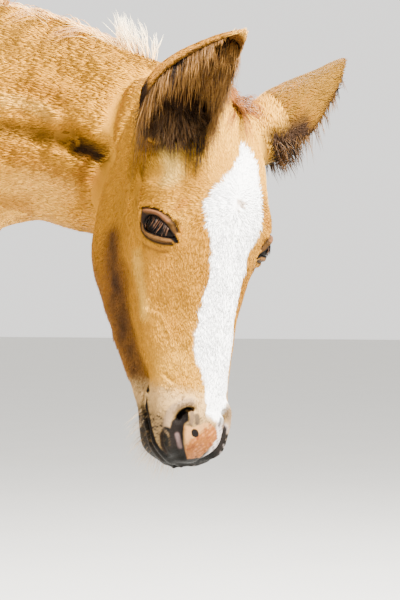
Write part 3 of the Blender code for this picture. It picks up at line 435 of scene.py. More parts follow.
class Clay:
    """A skin's points, with the strokes that model them."""

    def __init__(self, piece: bpy.types.Object) -> None:
        """Reads the piece's points."""
        self.piece = piece
        self.points, self.normals = Bench.read(piece)

    def done(self) -> None:
        """Puts the modelled points back."""
        Bench.write(self.piece, self.points)

    def settle(self, path: list[Vector]) -> list[Vector]:
        """Moves each point of a path to the nearest point of the skin."""
        spots = (np.array(p) for p in path)
        return [Vector(self.points[np.argmin(((self.points - p) ** 2).sum(1))]) for p in spots]

    def press(
        self, plan: "Plan", path: Table, reach: float, amount: float, way: Vector | None = None
    ) -> None:
        """Raises a ridge, or sinks a groove, along a stroke drawn in a flat view."""
        fade = np.clip(1 - (plan.far(self.points, path) / reach) ** 2, 0, 1) ** 2
        push = self.normals if way is None else np.array(way)
        self.points = self.points + push * (fade * amount)[:, None]

    def swell(self, centre: Vector, reach: float | tuple[float, ...], amount: float) -> None:
        """Pushes the skin out near a place, or in where the amount is negative."""
        far = (self.points - np.array(centre)) / np.array(reach)
        near = (far**2).sum(1) < 1
        fade = (1 - (far[near] ** 2).sum(1)) ** 2
        self.points[near] += self.normals[near] * (fade * amount)[:, None]

    def crease(self, path: list[Vector], reach: float, amount: float) -> None:
        """Raises a ridge along a path, or sinks a groove where the amount is negative."""
        near, far = near_path(self.points, path, reach)
        fade = np.clip(1 - (far / reach) ** 2, 0, 1) ** 2
        self.points[near] += self.normals[near] * (fade * amount)[:, None]


@dataclass
class Plan:
    """A flat view of a part of the skin, in which strokes and outlines are drawn.

    Places are pairs: distance to its right and distance up, from its middle.
    """

    middle: Vector
    right: Vector
    up: Vector
    out: Vector
    reach: float
    behind: float

    def spots(self, points: np.ndarray) -> tuple[np.ndarray, np.ndarray]:
        """Which of the points are in the view, and where they are in it."""
        spots = points - np.array(self.middle)
        near = (spots**2).sum(1) < self.reach**2
        chosen = np.flatnonzero(near & (spots @ np.array(self.out) > self.behind))
        axes = np.array((self.right, self.up))
        return chosen, spots[chosen] @ axes.T

    def far(self, points: np.ndarray, path: Table | np.ndarray) -> np.ndarray:
        """Each point's distance from a stroke in the view."""
        chosen, spots = self.spots(points)
        found = np.full(len(points), 1.0)
        found[chosen] = from_path(spots, np.array(path))
        return found

    def inside(self, points: np.ndarray, outline: Table | np.ndarray) -> np.ndarray:
        """Each point's distance inside an outline in the view, negative outside it."""
        ends = np.array([*outline, outline[0]])
        found, (chosen, spots) = self.far(points, ends), self.spots(points)
        within = np.zeros(len(chosen), bool)
        for (a0, b0), (a1, b1) in zip(ends[:-1], ends[1:]):
            crosses = (b0 > spots[:, 1]) != (b1 > spots[:, 1])
            slope = (a1 - a0) / (b1 - b0) if b1 != b0 else 0.0
            within ^= crosses & (spots[:, 0] < a0 + (spots[:, 1] - b0) * slope)
        found *= -1
        found[chosen[within]] *= -1
        return found

    def band(self, points: np.ndarray, path: Table | np.ndarray, width: float, soft: float) -> np.ndarray:
        """A share of 1 within a width of a stroke, fading over a soft edge."""
        return 1 - smooth_step(self.far(points, path), width, width + soft)


@dataclass
class HeadForm:
    """The head: its place, its sections, its strokes and the outlines of its markings, painted highlights
    and painted shade.

    Its frame has u from the poll to the lips, v out of the forehead and w to the foal's right.
    """

    poll: Vector = field(default_factory=lambda: Vector((0.77, -0.085, 0.955)))
    turn: float = math.radians(-30.0)
    nod: float = math.radians(5.5)
    tilt: float = math.radians(-7.5)
    levels: tuple[float, ...] = (0.1, 0.3, 0.6, 0.9)
    sections: Table = (
        (-0.02, -0.022, -0.075, 0.014, 0.024, 0.024, 0.013),
        (0.0, 0.016, -0.1, 0.033, 0.052, 0.056, 0.038),
        (0.03, 0.046, -0.115, 0.044, 0.063, 0.064, 0.046),
        (0.07, 0.064, -0.126, 0.053, 0.072, 0.069, 0.05),
        (0.12, 0.068, -0.138, 0.062, 0.086, 0.073, 0.053),
        (0.165, 0.066, -0.146, 0.067, 0.094, 0.076, 0.055),
        (0.21, 0.059, -0.146, 0.055, 0.08, 0.072, 0.054),
        (0.26, 0.052, -0.129, 0.043, 0.065, 0.061, 0.047),
        (0.31, 0.046, -0.104, 0.035, 0.054, 0.051, 0.04),
        (0.35, 0.041, -0.084, 0.03, 0.046, 0.043, 0.033),
        (0.38, 0.037, -0.071, 0.029, 0.044, 0.04, 0.029),
        (0.408, 0.033, -0.066, 0.03, 0.046, 0.04, 0.028),
        (0.43, 0.022, -0.058, 0.026, 0.04, 0.034, 0.023),
        (0.443, 0.002, -0.037, 0.014, 0.021, 0.018, 0.013),
    )
    mouth: Table = tenths(
        (3600, -300, 410), (3790, -360, 400), (3940, -270, 420), (4100, -180, 430), (4250, -120, 400),
        (4360, -130, 290), (4440, -180, 120), (4470, -200, 0),
    )
    nostril: tuple[float, float, float] = (0.41, 0.015, 0.03)
    rim: Table = tenths(
        (144, 330), (66, 318), (-23, 279), (-90, 212), (-123, 112), (-129, 11), (-135, -110), (-105, -235)
    )
    # The slit and the fold are pressed in and painted near-black as painted shade in the nostril's opening
    # and the crease below its rim; the trough is painted as dark skin and painted shade in the nostril's
    # hollow, the shine as a painted wet highlight, and the bottom as dark skin and painted shade.
    slit: Table = tenths((140, 246), (100, 249), (55, 235), (10, 196), (-17, 145))
    hollow: Table = tenths((40, 160), (0, 50), (-15, -80), (5, -210), (15, -290))
    trough: Table = tenths(
        (-30, 160), (10, 215), (66, 232), (122, 215), (125, 120), (75, 78), (58, -20), (62, -130),
        (77, -234), (60, -340), (-50, -340), (-85, -240), (-96, -100), (-96, 20), (-75, 100),
    )
    shine: Table = tenths((-10, -40), (10, -110), (22, -178))
    flap: Table = tenths((156, 224), (161, 151), (144, 90))
    grey: Table = tenths((211, 170), (217, 100))
    fold: Table = tenths((-168, 0), (-190, -55), (-179, -156), (-118, -268))
    bottom: Table = tenths(
        (-200, -262), (-68, -250), (77, -262), (100, -330), (211, -318), (323, -215), (412, -140),
        (450, -180), (357, -290), (267, -400), (89, -460), (-100, -460), (-200, -380),
    )
    lip: Table = tenths((-425, 324), (-414, 11), (-358, -189), (-246, -312))
    corner: Table = tenths((-362, 515), (-347, 440))
    mouth_line: Table = tenths(
        (-380, 302), (-341, 134), (-313, 11), (-269, -128), (-213, -223), (-146, -290)
    )
    snip: Table = tenths(
        (55, 78), (161, 45), (245, 67), (301, 101), (379, 67), (435, -11), (435, -100), (368, -189),
        (245, -312), (105, -335), (77, -234), (66, -100),
    )
    blush: Table = tenths((500, 120), (300, 40), (60, -160), (0, -500), (600, -500))
    spot: tuple[float, float] = (0.0189, -0.0022)
    freckles: Table = tenths((-45, 563), (22, 480), (-79, 469), (55, 380), (-118, 458), (-12, 531))
    vein: Table = tenths(
        (2710, -120, 650), (2760, -40, 600), (2810, 50, 540), (2980, 110, 470), (3160, 160, 430)
    )
    wrinkle: Table = tenths((3460, 60, 450), (3510, 100, 430), (3540, 140, 410))
    # Paths painted on the head: darker hair and painted shade in the jaw's groove, dark fringe hair and
    # painted shade at the temple under the ear, painted shade along the orbit's edge, and painted
    # highlights on the facial crest and the brow.
    jaw: Table = tenths(
        (1850, -540, 760), (2250, -620, 660), (2580, -660, 560), (2990, -600, 510), (3390, -470, 450),
        (3730, -410, 410),
    )
    orbit: Table = tenths((1200, 0, 820), (1450, 40, 910), (1640, 80, 930), (2000, 10, 860))
    temple: Table = tenths((900, -180, 790), (950, 40, 790), (980, 200, 770))
    crest: Table = tenths((2150, -120, 860), (2450, -140, 780), (2750, -140, 700))
    brow: Table = tenths((980, 300, 700), (1120, 360, 720), (1280, 400, 740))
    streaks: Table = tenths((1580, 500, 580), (1660, 450, 670), (1900, 440, 620), (1960, 380, 700))
    blaze: Table = tenths(
        (830, -40, -60), (970, 0, -280), (1200, 100, -370), (1400, 270, -440), (1530, 360, -470),
        (1750, 350, -480), (1980, 270, -340), (2260, 230, -320), (2580, 260, -250), (2990, 290, -260),
        (3290, 250, -280), (3470, 170, -290), (3680, 100, -300), (3920, 60, -300), (4000, 30, -280),
    )

    def __post_init__(self) -> None:
        """Sets up the head's frame."""
        axes = Matrix(((0, 1, 0), (0, 0, -1), (-1, 0, 0))).to_4x4()
        self.frame = (
            Matrix.Translation(self.poll) @ Matrix.Rotation(self.turn, 4, "Z")
            @ Matrix.Rotation(self.tilt, 4, "X") @ Matrix.Rotation(-self.nod, 4, "Y") @ axes
        )
        self.inverse = np.array(self.frame.inverted())
        self.plans = {side: self.plan(side) for side in Side}

    def plan(self, side: Side) -> Plan:
        """The flat view of the muzzle from ahead and one side, in which its marks are drawn."""
        s, (u, v, w) = side.value, self.nostril
        right, up = self.way(-0.04, 0.65, -0.76 * s), self.way(-0.99, 0.1, 0.13 * s)
        return Plan(self.at(u, v, w * s), right, up, self.way(0.16, 0.75, 0.64 * s), 0.09, -0.03)

    def at(self, u: float, v: float, w: float) -> Vector:
        """A point of the head's frame, in the foal's frame."""
        return self.frame @ Vector((u, v, w))

    def way(self, u: float, v: float, w: float) -> Vector:
        """A unit direction of the head's frame, in the foal's frame."""
        return (self.frame.to_3x3() @ Vector((u, v, w))).normalized()

    def line(self, side: Side, places: Table) -> list[Vector]:
        """A stroke's points on one side."""
        return [self.at(u, v, w * side.value) for u, v, w in places]

    def local(self, points: np.ndarray) -> np.ndarray:
        """Points in the head's frame, one row of u, v and w each."""
        return points @ self.inverse[:3, :3].T + self.inverse[:3, 3]

    def table(self, at: np.ndarray) -> np.ndarray:
        """Top v, bottom v and half-widths at the places asked for."""
        rows = np.array(self.sections)
        return flow(rows[:, 0], rows[:, 1:], at)

    def side(self, u: float, level: float) -> tuple[float, float]:
        """v and half-width of the head's side, at a level from 0 at the forehead to 1 at the jaw."""
        top, bottom, *widths = self.table(u)[0]
        full = [w / (2 * math.sqrt(t * (1 - t))) for w, t in zip(widths, self.levels)]
        knots = (0.0, *self.levels, 1.0)
        fullness = flow(knots, (full[0], *full, full[-1]), level)[0, 0]
        return top + (bottom - top) * level, fullness * 2 * math.sqrt(level * (1 - level))

    def path(self, side: Side, *places: tuple[float, float]) -> list[Vector]:
        """Points on one side of the head, from pairs of u and level."""
        found = []
        for u, level in places:
            v, w = self.side(u, level)
            found.append(self.at(u, v, w * side.value))
        return found

    def solid(self, along: int = 90, around: int = 64) -> Solid:
        """The head's loft from the poll to the lips."""
        rings = []
        for u in np.linspace(self.sections[0][0], self.sections[-1][0], along):
            half = [
                self.side(u, (1 - math.cos(2 * math.pi * i / around)) / 2) for i in range(around // 2 + 1)
            ]
            ring = [tuple(self.at(u, v, w)) for v, w in half]
            ring += [tuple(self.at(u, v, -w)) for v, w in half[-2:0:-1]]
            rings.append(np.array(ring))
        return Solid.loft(rings)

    def model(self, clay: Clay) -> None:
        """Models the skull, cheeks, crests, nostrils, lips and chin."""
        for side in Side:
            s = side.value
            clay.swell(self.at(0.166, 0.034, 0.08 * s), 0.032, 0.004)
            clay.swell(self.at(0.122, 0.024, 0.08 * s), 0.022, -0.006)
            clay.swell(self.at(0.195, -0.08, 0.068 * s), 0.06, 0.005)
            clay.swell(self.at(0.285, 0.018, 0.054 * s), 0.038, -0.004)
            crest = self.path(
                side, (0.205, 0.24), (0.221, 0.26), (0.243, 0.29), (0.262, 0.33), (0.283, 0.39)
            )
            clay.crease(crest, 0.016, 0.0035)
            jaw = self.path(side, (0.225, 0.5), (0.253, 0.6), (0.275, 0.64), (0.322, 0.65), (0.352, 0.62))
            clay.crease(jaw, 0.017, -0.0045)
            clay.crease(self.path(side, (0.3, 0.86), (0.34, 0.86)), 0.016, 0.002)
            clay.crease(self.path(side, (0.215, 0.14), (0.26, 0.14), (0.32, 0.16)), 0.014, -0.002)
            behind = [
                self.at(u, -0.006, w * s) for u, w in ((0.135, 0.089), (0.165, 0.091), (0.205, 0.084))
            ]
            clay.crease(behind, 0.012, -0.0055)
            clay.swell(self.at(0.385, 0.01, 0.04 * s), 0.03, 0.003)
            clay.press(self.plans[side], self.rim, 0.01, 0.0035)
            clay.crease(self.line(side, self.mouth), 0.013, 0.003)
            clay.crease(self.line(side, self.mouth), 0.0055, -0.003)
            clay.swell(self.at(0.352, -0.036, 0.04 * s), 0.014, -0.0025)
        clay.swell(self.at(0.425, -0.064, 0), (0.022, 0.03, 0.024), 0.005)
        clay.swell(self.at(0.372, -0.068, 0), (0.022, 0.03, 0.022), -0.005)
        throat = [self.at(u, self.table(u)[0, 1], 0) for u in (0.17, 0.24, 0.3, 0.345)]
        clay.crease(throat, 0.02, -0.008)
        clay.crease([self.at(0.385, 0.037, 0), self.at(0.445, 0.02, 0)], 0.01, -0.0015)

    def refine(self, clay: Clay) -> None:
        """Adds what only a fine mesh can hold: the nostrils, the lips' edges, wrinkles and veins."""
        for side in Side:
            plan, inward = self.plans[side], self.way(-0.3, -0.45, -0.84 * side.value)
            clay.press(plan, self.rim, 0.006, 0.0012)
            clay.press(plan, self.hollow, 0.0105, 0.006, inward)
            clay.press(plan, self.slit, 0.0085, 0.005, inward)
            clay.press(plan, self.slit, 0.0048, 0.01, inward)
            clay.press(plan, self.flap, 0.0045, 0.0016)
            clay.press(plan, self.fold, 0.004, -0.0016)
            mouth = clay.settle(self.line(side, self.mouth))
            clay.crease(mouth, 0.0042, -0.0042)
            for shift, reach, amount in ((0.006, 0.0045, 0.0012), (-0.0065, 0.005, 0.0016)):
                lip = [self.at(u, v + shift, w * side.value) for u, v, w in self.mouth]
                clay.crease(clay.settle(lip), reach, amount)
            clay.crease(clay.settle(self.line(side, self.vein)), 0.0048, 0.0006)
            clay.crease(clay.settle(self.line(side, self.wrinkle)), 0.0042, -0.0016)
            clay.crease(clay.settle(self.path(side, (0.355, 0.7), (0.368, 0.8))), 0.0045, -0.001)


@dataclass
class EyeForm:
    """An eye: its ball, the opening between its lids and the lids' creases.

    Places on the lids are pairs: distance along the slit towards the nose, and above it.
    """

    head: HeadForm
    side: Side
    radius: float = 0.0205
    centre: tuple[float, float, float] = (0.186, 0.018, 0.0665)
    looks: tuple[float, float, float] = (0.22, 0.46, 0.86)
    slit: tuple[float, float, float] = (0.5, 0.62, -0.6)
    lid_wall: float = 0.004
    margin: float = 0.0019
    upper: Table = tenths(
        (-185, 30), (-160, 88), (-95, 122), (-30, 128), (52, 111), (120, 80), (165, 50), (205, 12)
    )
    lower: Table = tenths((160, -14), (80, -37), (0, -57), (-60, -70), (-125, -76), (-170, -40))
    # The creases and the faint crease below are pressed into the lids and also painted with shade.
    creases: tuple[Table, ...] = (
        (
            (-0.029, 0.0105), (-0.0203, 0.0168), (-0.0073, 0.0203), (0.0047, 0.0206), (0.0143, 0.0156),
            (0.0205, 0.0085),
        ),
        (
            (-0.0225, -0.006), (-0.018, -0.013), (-0.0068, -0.0145), (0.0045, -0.0138), (0.0134, -0.0118),
            (0.0215, -0.0073),
        ),
    )
    faint: Table = tenths((-100, -240), (30, -230), (127, -210), (200, -180))
    pink: Table = tenths((-255, 105), (-170, 140), (-50, 168), (70, 150))
    corner: Table = tenths((-170, 90), (-270, 75), (-215, -50), (-160, -60))

    def __post_init__(self) -> None:
        """Sets up the eye's own axes: out, along the slit to the nose, and up."""
        s = self.side.value
        u, v, w = self.centre
        self.middle = self.head.at(u, v, w * s)
        self.out = self.head.way(self.looks[0], self.looks[1], self.looks[2] * s)
        along = self.head.way(self.slit[0], self.slit[1], self.slit[2] * s)
        self.along = (along - self.out * along.dot(self.out)).normalized()
        self.up = self.out.cross(self.along) * s
        self.plan = Plan(self.middle, self.along, self.up, self.out, 0.042, 0.003)

    def lid(self, places: Table, thick: float) -> list[Vector]:
        """Points on the lids, at a thickness above the ball."""
        reach = self.radius + thick
        found = []
        for along, up in places:
            out = math.sqrt(max(reach**2 - along**2 - up**2, 1e-6))
            found.append(self.middle + self.out * out + self.along * along + self.up * up)
        return found

    def outline(self) -> np.ndarray:
        """The opening's closed outline, rounded through its named places."""
        knots = np.array([*self.upper, *self.lower])
        turns = np.arange(-2, len(knots) + 3)
        rows = knots[turns % len(knots)]
        return flow(turns, rows, np.linspace(0, len(knots), 65))

    def lids(self) -> np.ndarray:
        """The lids' outer outline, along their creases."""
        return np.array([*self.creases[0], *self.creases[1][::-1]])

    def opening(self) -> Solid:
        """The almond between the lids."""
        rings = []
        for depth, wide in ((0.006, 1.0), (0.018, 1.0), (0.045, 1.08)):
            ring = [
                self.middle + self.out * depth + (self.along * a + self.up * b) * wide
                for a, b in self.outline()[:-1]
            ]
            rings.append(as_rows(ring))
        return Solid.loft(rings)

    def socket(self) -> Solid:
        """The hollow behind the lids that holds the ball."""
        return Solid.ball(self.middle, self.radius + 0.0003, 28)

    def model(self, clay: Clay) -> None:
        """Models the lids' rims and creases, and thins the lids towards the opening."""
        for crease, depth in zip(self.creases, (-0.0022, -0.0018)):
            clay.press(self.plan, crease, 0.0032, depth)
        clay.press(self.plan, self.faint, 0.0035, -0.001)
        clay.press(self.plan, ((-0.024, 0.0105), (-0.005, 0.0168), (0.011, 0.014)), 0.004, 0.001)
        clay.press(self.plan, ((0.0215, 0.0005), (0.025, -0.0025)), 0.0036, -0.0018)
        gap = self.plan.far(clay.points, self.outline())
        spots = clay.points - np.array(self.middle)
        far = np.linalg.norm(spots, axis=1)
        share = 1 - smooth_step(gap, 0.0006, 0.005)
        wanted = self.radius + self.margin
        scale = 1 + share * (wanted / np.maximum(far, 1e-6) - 1) * (far > wanted)
        clay.points = np.array(self.middle) + spots * scale[:, None]


@dataclass
class EarForm:
    """An ear: a thick curled leaf on a solid root.

    Each side's set is its root, the ways that its axis and its opening point, and its bend.
    """

    head: HeadForm
    side: Side
    length: float = 0.155
    wall: float = 0.0036
    set_right: Table = (
        (0.0555, 0.0235, 0.064), (-0.413, 0.824, 0.383), (0.234, 0.94, 0.24), (0.002, 0.015, -0.038)
    )
    set_left: Table = (
        (0.053, 0.03, 0.07), (-0.489, 0.331, 0.807), (0.871, -0.078, 0.482), (-0.028, -0.017, -0.031)
    )
    roll_right: float = -32.0
    profile: Table = (
        (0.0, 0.0365, 162.0), (0.12, 0.0425, 124.0), (0.3, 0.042, 111.0), (0.5, 0.0348, 100.0),
        (0.7, 0.0241, 97.0), (0.86, 0.0147, 96.0), (0.95, 0.0077, 95.0), (1.0, 0.003, 90.0),
    )
    trunk: Table = ((-0.26, 0.024), (-0.1, 0.033), (0.04, 0.036), (0.14, 0.033), (0.22, 0.018))

    def __post_init__(self) -> None:
        """Sets up the ear's own axes."""
        right = self.side is Side.RIGHT
        placed = self.set_right if right else self.set_left
        root, axis, opening, bend = (Vector((u, v, w * self.side.value)) for u, v, w in placed)
        self.root, self.axis, opening = self.head.at(*root), self.head.way(*axis), self.head.way(*opening)
        self.opening = (opening - self.axis * opening.dot(self.axis)).normalized()
        self.across = self.axis.cross(self.opening)
        roll = math.radians(self.roll_right if right else 0.0)
        self.opening = self.opening * math.cos(roll) + self.across * math.sin(roll)
        self.across = self.axis.cross(self.opening)
        self.bend = self.head.frame.to_3x3() @ bend

    def middle(self, share: float) -> Vector:
        """A point on the ear's bent axis."""
        return self.root + self.axis * self.length * share + self.bend * share**2

    def girth(self, share: float) -> tuple[float, float]:
        """Radius, and half of the angle that the cup wraps."""
        rows = np.array(self.profile)
        radius, wrap = flow(rows[:, 0], rows[:, 1:], share)[0]
        return float(radius), math.radians(float(wrap))

    def point(self, share: float, turn: float, inner: bool) -> Vector:
        """A point on the cup, at a turn from -1 at one rim to 1 at the other."""
        radius, wrap = self.girth(share)
        out = self.across * math.sin(turn * wrap) - self.opening * math.cos(turn * wrap)
        wall = min(self.wall * (1 - 0.5 * share), radius * 0.8)
        wall *= 1 - 0.45 * abs(turn) ** 4
        return self.middle(share) + out * (radius - (wall if inner else 0.0))

    def solid(self, rows: int = 40, columns: int = 37) -> Solid:
        """The cup's closed leaf."""
        shares, turns = np.linspace(0, 1, rows), np.linspace(-1, 1, columns)
        outer = [tuple(self.point(s, t, False)) for s in shares for t in turns]
        inner = [tuple(self.point(s, t, True)) for s in shares for t in turns]
        shift, faces = len(outer), []
        for r in range(rows - 1):
            for c in range(columns - 1):
                a = r * columns + c
                quad = (a, a + 1, a + columns + 1, a + columns)
                faces += [quad, tuple(i + shift for i in reversed(quad))]
        edge = list(range(columns))
        edge += [r * columns + columns - 1 for r in range(1, rows)]
        edge += [(rows - 1) * columns + c for c in range(columns - 2, -1, -1)]
        edge += [r * columns for r in range(rows - 2, 0, -1)]
        for a, b in zip(edge, edge[1:] + edge[:1]):
            faces.append((b, a, a + shift, b + shift))
        return Solid(np.array(outer + inner), faces)

    def stub(self) -> Solid:
        """The ear's solid root, from inside the head up into the cup."""
        return Solid.taper([self.middle(share) for share, _ in self.trunk], [r for _, r in self.trunk])

    def local(self, points: np.ndarray) -> tuple[np.ndarray, np.ndarray, np.ndarray]:
        """Each point's share of the ear's length, distance from its axis over the radius, and turn."""
        offset = points - np.array(self.root)
        axis, bend = np.array(self.axis), np.array(self.bend)
        share = offset @ axis / self.length
        for _ in range(3):
            straight = offset - np.outer(np.clip(share, 0, 1.1) ** 2, bend)
            share = straight @ axis / self.length
        across = straight @ np.array(self.across)
        back = -straight @ np.array(self.opening)
        rows = np.array(self.profile)
        radius = flow(rows[:, 0], rows[:, 1:], share)[:, 0]
        return share, np.hypot(across, back) / np.maximum(radius, 1e-4), np.arctan2(across, back)


@dataclass
class TrunkForm:
    """The trunk and the dock's root."""

    sections: Table = (
        (-0.47, 1.01, 0.9, 0.5, 0.03, 2.0, 2.0), (-0.445, 1.052, 0.85, 0.48, 0.074, 2.0, 2.0),
        (-0.38, 1.092, 0.79, 0.45, 0.112, 2.2, 2.0), (-0.3, 1.112, 0.76, 0.45, 0.13, 2.3, 2.0),
        (-0.2, 1.11, 0.735, 0.48, 0.132, 2.2, 2.0), (-0.1, 1.09, 0.702, 0.52, 0.127, 2.0, 2.1),
        (0.0, 1.074, 0.68, 0.55, 0.13, 1.9, 2.1), (0.1, 1.07, 0.668, 0.56, 0.13, 1.8, 2.1),
        (0.18, 1.082, 0.668, 0.56, 0.124, 1.6, 2.1), (0.25, 1.085, 0.678, 0.56, 0.117, 1.6, 2.1),
        (0.32, 1.06, 0.698, 0.58, 0.108, 1.8, 2.1), (0.38, 1.0, 0.73, 0.58, 0.094, 2.0, 2.1),
        (0.425, 0.9, 0.78, 0.55, 0.055, 2.0, 2.0),
    )
    swells: tuple = (
        ((0.395, 0.08, 0.83), (0.06, 0.06, 0.07), 0.012),
        ((0.29, 0.11, 0.93), (0.075, 0.08, 0.12), 0.008),
        ((0.205, 0.118, 0.81), (0.075, 0.06, 0.08), 0.01),
        ((0.13, 0.12, 0.8), (0.03, 0.06, 0.11), -0.007),
        ((0.185, 0.095, 0.735), (0.035, 0.045, 0.03), 0.008),
        ((0.425, 0.045, 0.79), (0.05, 0.04, 0.06), 0.012),
        ((0.02, 0.13, 0.86), (0.16, 0.08, 0.14), 0.006),
        ((-0.145, 0.125, 0.96), (0.06, 0.07, 0.09), -0.012),
        ((-0.205, 0.12, 1.02), (0.045, 0.05, 0.04), 0.008),
        ((-0.33, 0.12, 0.93), (0.11, 0.08, 0.12), 0.008),
        ((-0.185, 0.12, 0.77), (0.05, 0.05, 0.055), 0.009),
        ((-0.46, 0.06, 0.9), (0.06, 0.05, 0.08), 0.008), ((-0.17, 0.1, 0.7), (0.07, 0.08, 0.05), -0.006),
        ((0.3, 0.1, 0.64), (0.04, 0.05, 0.07), 0.004),
    )
    creases: tuple = (
        (((0.395, 0.11, 0.86), (0.32, 0.122, 0.96), (0.27, 0.1, 1.04)), 0.022, -0.004),
        (((0.165, 0.125, 0.9), (0.15, 0.12, 0.78)), 0.022, -0.004),
        (((-0.33, 0.13, 1.02), (-0.39, 0.125, 0.88), (-0.36, 0.125, 0.76)), 0.022, -0.005),
        (((-0.22, 0.13, 0.9), (-0.18, 0.125, 0.8)), 0.026, -0.004),
    )
    midline: tuple = (
        (((0.44, 0.0, 0.86), (0.43, 0.0, 0.74)), 0.02, -0.01),
        (((-0.24, 0.0, 1.115), (-0.42, 0.0, 1.07)), 0.022, -0.004),
        (((-0.48, 0.0, 0.96), (-0.48, 0.0, 0.78)), 0.034, -0.014),
    )
    ribs: tuple[float, ...] = (-0.1, -0.055, -0.01, 0.035, 0.08)
    dock_root: tuple = ((-0.4, 0, 1.02), (-0.462, 0, 1.006), (-0.492, 0, 0.982), (-0.508, 0, 0.958))

    def solids(self) -> list[Solid]:
        """The trunk's loft and the root of the dock."""
        rows = np.array(self.sections)
        rings = []
        for x in np.linspace(rows[0, 0], rows[-1, 0], 90):
            top, bottom, level, width, over, under = flow(rows[:, 0], rows[:, 1:], x)[0]
            rings.append(section((x, 0, top), (x, 0, bottom), (0, 1, 0), width, level, over, under))
        dock = Solid.taper([Vector(p) for p in self.dock_root], (0.04, 0.034, 0.026, 0.024))
        return [Solid.loft(rings), dock]

    def model(self, clay: Clay) -> None:
        """Models the muscles, bones and hollows, and a hint of ribs."""
        for side in Side:
            s = -side.value
            for (x, y, z), reach, amount in self.swells:
                clay.swell(Vector((x, y * s, z)), reach, amount)
            for path, reach, amount in self.creases:
                clay.crease([Vector((x, y * s, z)) for x, y, z in path], reach, amount)
            for x in self.ribs:
                rib = [(x + 0.035, 0.12, 0.94), (x, 0.14, 0.86), (x - 0.03, 0.125, 0.78)]
                clay.crease([Vector((a, b * s, c)) for a, b, c in rib], 0.018, 0.0016)
        for path, reach, amount in self.midline:
            clay.crease([Vector(p) for p in path], reach, amount)


